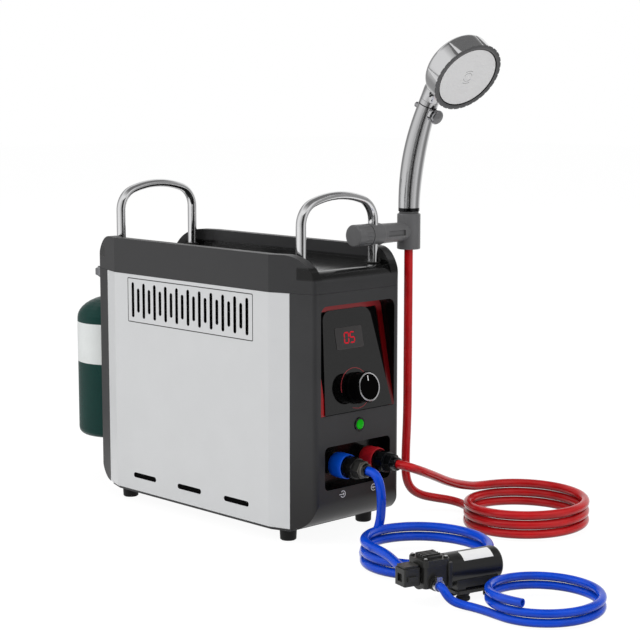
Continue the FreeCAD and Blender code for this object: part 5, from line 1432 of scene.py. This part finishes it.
    def plate(self) -> bpy.types.Object:
        """Make the flat spray plate with its low centre boss.

        Returns:
            The plate.
        """
        r = self.plate_radius
        deep = self.plate_depth
        blank = Blank()
        blank.turn([(0.05, deep - 0.35), (2.7, deep - 0.35), (3.2, deep - 0.1), (3.6, deep), (r - 2.0, deep),
                    (r - 0.6, deep + 0.2), (r, deep + 0.9), (r, deep + 2.0), (0.05, deep + 2.0)],
                   self.plane.at(0.0, 0.0), -self.plane.out, 120)
        return self.fit(blank, "head_spray_plate", "spray_plate", "handset", "spray_grey")

    def arcs(self) -> None:
        """Press the thin arcs round the middle of the spray face."""
        low, high = (lift - self.plate_depth for lift in self.plate_lifts)
        blank = Blank()
        for radius, start, end in self.face_arcs:
            outlines = [arc(radius + side * self.arc_half, start, end, 24) for side in (1, -1)]
            blank.ribbon(self.plane, outlines, low, high, closed=False)
        self.fit(blank, "spray_face_arcs", "holder_grey", "handset", "rim_grey")

    def nozzles(self) -> None:
        """Set the short soft nozzles in the spray face."""
        plane = self.plane
        blank = Blank()
        for radius, count in self.nozzle_rings:
            for index in range(count):
                angle = 2 * math.pi * (index + 0.5 * (count % 4 == 2)) / count
                foot = plane.at(radius * math.cos(angle), radius * math.sin(angle), -self.plate_depth - 0.05)
                blank.turn(self.nozzle_profile, foot, plane.out, 10, closed=False)
        self.fit(blank, "spray_nozzles", "spray_plate", "handset", "spray_grey")

    def gasket(self) -> None:
        """Set the thin dark gasket between the rim and the spray face."""
        profile = [(self.plate_radius + reach, height) for reach, height in self.gasket_profile]
        blank = Blank()
        blank.turn(profile, self.plane.at(0.0, 0.0), self.plane.out, 120)
        self.fit(blank, "rim_gasket", "matt_black", "handset", "rim_grey")

    def build(self) -> None:
        """Dress the shower and its holder and make the head's own pieces."""
        self.dress(clamp_sleeve="holder_grey", clamp_knob="holder_grey", shower_cradle="holder_grey",
                   hose_cone="rim_grey", shower_handle="grip_chrome", shower_head="chrome",
                   shower_rim="rim_grey", spray_face="spray_plate", stop_button="button_grey")
        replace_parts(self.drum(), "shower_head")
        self.neck()
        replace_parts(self.rim(), "shower_rim")
        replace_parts(self.plate(), "spray_face")
        self.arcs()
        self.nozzles()
        self.gasket()


@dataclass
class Pump(Assembly):
    """Small diaphragm pump with its blank label and screws."""

    origin: Pair = (391.8, -158.7)
    heading: float = 75.9
    axis_z: float = 29.3
    motor_radius: float = 16.5
    label_span: Pair = (73.5, 108.0)
    label_angles: Pair = (-52.0, -6.0)
    label_lifts: Pair = (0.02, 0.12)
    plate_top: float = 47.0
    screw_places: tuple[Pair, ...] = ((30.0, -11.5), (30.0, 11.5), (53.0, -11.5), (53.0, 11.5))
    screw_profile: tuple[Pair, ...] = (
        (1.7, 0.0), (1.7, 0.7), (1.4, 1.05), (0.7, 1.15), (0.5, 0.7), (0.02, 0.6))

    def at(self, along: float, left: float, z: float) -> Vector:
        """Give a point of the pump's frame.

        Args:
            along: Distance from the head's end along the motor.
            left: Distance to the left of the axis.
            z: Height over the ground.

        Returns:
            The point in metres.
        """
        angle = math.radians(self.heading)
        x = self.origin[0] + along * math.cos(angle) - left * math.sin(angle)
        y = self.origin[1] + along * math.sin(angle) + left * math.cos(angle)
        return Vector((x, y, z)) * MM

    def label(self) -> None:
        """Stick the blank white label on the motor can."""
        near, far = self.label_span
        inner, outer = (self.motor_radius + lift for lift in self.label_lifts)
        blank = Blank()
        blank.strip([blank.loop(self.at(along, left, self.axis_z + rise)
                                for rise, left in arc(radius, *self.label_angles, 24))
                     for radius, along in ((inner, near), (inner, far), (outer, far), (outer, near))])
        self.fit(blank, "motor_blank_label", "printed_white", "heater", "pump_steel")

    def screws(self) -> None:
        """Fit bright screws at the corners of the head's top plate."""
        blank = Blank()
        for along, left in self.screw_places:
            foot = self.at(along, left, self.plate_top - 0.3)
            blank.turn(self.screw_profile, foot, Vector(Z_AXIS), 28, closed=False)
        self.fit(blank, "pump_screws", "clip_steel", "heater", "bright_metal")

    def build(self) -> None:
        """Dress the pump and add its label and screws."""
        self.dress(pump_motor="motor_can", pump_head="pump_moulding", pump_switch="pump_moulding",
                   pump_base="pump_moulding", pump_feet="rubber", hose_clamps="clip_steel")
        self.label()
        self.screws()


@dataclass
class InnerWorks(Assembly):
    """Burner, exchanger, pipes, valve and electronics inside the casing."""

    def build(self) -> None:
        """Dress the inner parts."""
        self.dress(combustion_chamber="copper", heat_exchanger="copper", exhaust_hood="galvanised",
                   burner="galvanised", igniter="ceramic", gas_valve="die_cast", gas_pipe="galvanised",
                   cold_pipe="copper", hot_pipe="copper", flow_sensor="holder_grey",
                   control_board="circuit_board", battery_box="pump_moulding")


# ------------------------------------------------------------------ studio
@dataclass(frozen=True)
class Screen:
    """A soft-edged grey screen that only reflections see, from the floor up to its height."""

    name: str
    azimuth: float
    half_angle: float
    soft_angle: float
    opacity: float
    near: float = 0.46
    fade: float = 0.2
    far: float = 3.0
    height: float = 2.6
    floor_gap: float = 0.004
    columns: int = 24

    def mask(self, graph: Graph) -> Socket:
        """Cover the screen's angles and fade it out towards the heater.

        Args:
            graph: Graph of the screen's material.

        Returns:
            The cover from 0 to 1.
        """
        here = graph.place()
        angle = graph.maths("ARCTAN2", graph.dot(here, Y_AXIS), graph.dot(here, X_AXIS))
        half = math.radians(self.half_angle)
        cover = graph.band(angle, -half, half, math.radians(self.soft_angle))
        reach = graph.add("VectorMath", here, operation="LENGTH").outputs["Value"]
        fade = graph.ranged(reach, (self.near, self.near + self.fade), (0.0, self.opacity))
        return graph.times(cover, fade)

    def mesh(self) -> tuple[list[Triple], list[tuple[int, ...]]]:
        """Bend the screen from the floor round and up its wall.

        Returns:
            Its points and its faces.
        """
        wide = self.half_angle + self.soft_angle
        rows = ((self.near, self.floor_gap), (self.far, self.floor_gap), (self.far, self.height))
        points = [(x, y, z) for reach, z in rows for x, y in arc(reach, -wide, wide, self.columns)]
        row = self.columns + 1
        faces = [(first, first + 1, first + row + 1, first + row)
                 for start in range(0, row * (len(rows) - 1), row) for first in range(start, start + row - 1)]
        return points, faces


@dataclass(frozen=True)
class Roof:
    """A soft-edged grey sheet overhead that only reflections see."""

    centre: Triple = (0.1, 0.9, 2.55)
    half: Pair = (2.3, 2.6)
    soft: float = 1.3
    opacity: float = 0.80

    def mask(self, graph: Graph) -> Socket:
        """Cover the sheet up to its soft edges.

        Args:
            graph: Graph of the sheet's material.

        Returns:
            The cover from 0 to 1.
        """
        cover: object = self.opacity
        for axis, half in zip((X_AXIS, Y_AXIS), self.half):
            inner = half - self.soft / 2
            edges = graph.band(graph.dot(graph.place(), axis), -inner, inner, self.soft / 2)
            cover = graph.times(cover, edges)
        return cover


@dataclass(frozen=True)
class Lamp:
    """One soft lamp: where it hangs, what it aims at, its size and its power."""

    place: Triple
    aim: Triple
    size: Pair
    power: float


@dataclass
class Studio:
    """Floor, lamps, screens and camera."""

    camera_place: Triple = (1.49447, -1.32353, 0.50347)
    camera_turn: Triple = (90.0 - 8.014, 0.0, 45.896)
    lens: float = 97.76
    world_level: float = 0.44
    floor_half: float = 9.0
    floor_share: float = 0.86
    floor_strength: float = 1.09
    floor_tones: Pair = (0.90, 0.93)
    screen_grey: float = 0.012
    middle: Pair = (0.15, 0.10)
    lamps: tuple[Lamp, ...] = (
        Lamp((-1.3, -3.0, 2.0), (0.0, 0.0, 0.15), (2.2, 2.2), 61.0),
        Lamp((2.9, -0.2, 1.6), (0.15, 0.0, 0.2), (1.6, 2.2), 22.0),
        Lamp((0.3, 0.4, 3.2), (0.1, 0.0, 0.2), (2.4, 2.4), 33.0),
    )
    roof: Roof = Roof()
    screens: tuple[Screen, ...] = (
        Screen("screen_front", -49.0, 22.0, 11.0, 0.985),
        Screen("screen_wide", -47.0, 48.0, 22.0, 0.50, far=3.1),
        Screen("screen_right", 51.0, 26.0, 14.0, 0.66),
        Screen("screen_left", -182.0, 26.0, 14.0, 0.62),
    )

    def seen_share(self, graph: Graph, level: float) -> Socket:
        """Mark the rays that see the plain white background.

        Args:
            graph: Graph of the material or world.
            level: Share that those rays get.

        Returns:
            The share, which is 0 for every other ray.
        """
        path = graph.add("LightPath").outputs
        seen: object = path["Is Camera Ray"]
        for name in ("Is Glossy Ray", "Is Transmission Ray"):
            seen = graph.maths("MAXIMUM", seen, path[name])
        return graph.times(seen, level)

    def world(self) -> None:
        """Make the background white to the eye and plainer as a light."""
        world = bpy.data.worlds.new("studio_air")
        bpy.context.scene.world = world
        world.use_nodes = True
        world.node_tree.nodes.clear()
        graph = Graph(world.node_tree)
        light, white = (graph.add("Background", WHITE, level).outputs[0] for level in (self.world_level, 1.0))
        mixed = graph.add("MixShader", self.seen_share(graph, 1.0), light, white)
        graph.add("OutputWorld", mixed.outputs[0])

    def sheet(self, name: str, points: Sequence[Triple], faces: Sequence[tuple[int, ...]],
              material: bpy.types.Material) -> bpy.types.Object:
        """Make one board of the stage.

        Args:
            name: Name of the board.
            points: Its points in metres.
            faces: Its faces.
            material: Its material.

        Returns:
            The board.
        """
        data = bpy.data.meshes.new(name)
        data.from_pydata(points, [], faces)
        data.materials.append(material)
        board = put(name, data)
        return board

    def flat(self, name: str, half: Pair, material: bpy.types.Material) -> bpy.types.Object:
        """Make a level rectangular board of the stage, from its name, half its sides and its material."""
        points = [(x, y, 0.0) for x, y in rectangle((-half[0], -half[1]), half)]
        return self.sheet(name, points, [(0, 1, 2, 3)], material)

    def floor(self) -> None:
        """Lay the pale floor, which still takes the object's shadow."""
        material, graph, shader = new_material("studio_floor")
        low, high = ((tone, tone, tone) for tone in self.floor_tones)
        colour = graph.tint(graph.effect(Effect.HANDLING, Scale=3.0), low, high)
        graph.fill(shader, {"Base Color": colour, "Roughness": 0.9, "Specular IOR Level": 0.0})
        glow = graph.add("Emission", WHITE, self.floor_strength)
        seen = self.seen_share(graph, self.floor_share)
        mixed = graph.add("MixShader", seen, shader.outputs[0], glow.outputs[0])
        graph.fill(material.node_tree.nodes["Material Output"], {"Surface": mixed.outputs[0]})
        self.flat("floor", (self.floor_half, self.floor_half), material)

    def veil(self, name: str, mask: Callable[[Graph], Socket]) -> bpy.types.Material:
        """Make the dull dark material of a screen.

        Args:
            name: Name of the material.
            mask: Gives the socket of its cover, from 0 to 1.

        Returns:
            The material.
        """
        material, graph, shader = new_material(name)
        grey = self.screen_grey
        graph.fill(shader, {"Base Color": (grey, grey, grey, 1.0), "Roughness": 1.0,
                            "Specular IOR Level": 0.0, "Alpha": mask(graph)})
        return material

    def hide(self, board: bpy.types.Object) -> None:
        """Leave a board to reflections alone."""
        for ray in ("camera", "diffuse", "shadow", "transmission"):
            setattr(board, f"visible_{ray}", False)

    def stand(self, screen: Screen) -> None:
        """Stand one screen round the middle of the stage.

        Args:
            screen: The screen.
        """
        board = self.sheet(screen.name, *screen.mesh(), self.veil(screen.name, screen.mask))
        board.location = (*self.middle, 0.0)
        board.rotation_euler = (0.0, 0.0, math.radians(screen.azimuth))
        self.hide(board)

    def hang(self, roof: Roof) -> None:
        """Hang the grey sheet overhead.

        Args:
            roof: The sheet.
        """
        board = self.flat("roof_screen", roof.half, self.veil("roof_screen", roof.mask))
        board.location = roof.centre
        self.hide(board)

    def light(self, name: str, lamp: Lamp) -> None:
        """Hang one soft lamp.

        Args:
            name: Name of the lamp.
            lamp: Its place, aim, size and power.
        """
        data = bpy.data.lights.new(name, "AREA")
        data.shape = "RECTANGLE"
        data.size, data.size_y = lamp.size
        data.energy = lamp.power
        hung = put(name, data)
        hung.visible_glossy = False
        hung.location = lamp.place
        hung.rotation_euler = (Vector(lamp.aim) - Vector(lamp.place)).to_track_quat("-Z", "Y").to_euler()

    def camera(self) -> None:
        """Set the camera."""
        data = bpy.data.cameras.new("camera")
        data.lens = self.lens
        data.sensor_width = 36.0
        data.clip_end = 60.0
        camera = put("camera", data)
        camera.location = self.camera_place
        camera.rotation_euler = [math.radians(angle) for angle in self.camera_turn]
        bpy.context.scene.camera = camera

    def build(self) -> None:
        """Build the studio round the heater."""
        self.world()
        self.floor()
        for screen in self.screens:
            self.stand(screen)
        self.hang(self.roof)
        for index, lamp in enumerate(self.lamps):
            self.light(f"softbox_{index}", lamp)
        bpy.context.scene.view_settings.view_transform = "Standard"


def main() -> None:
    """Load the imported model, dress it and build the studio."""
    logging.basicConfig(level=logging.INFO, format="%(name)s: %(message)s")
    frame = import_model()
    studio = Studio()
    studio.camera()
    book = FinishBook()
    nodes = frame["nodes"]
    for assembly in (Hoses, Casing, ControlPanel, WaterPorts, GasSide, Handset, Pump, InnerWorks):
        assembly(book, nodes).build()
        LOG.info("%s done", assembly.__name__)
    studio.build()


if __name__ == "__main__":
    main()
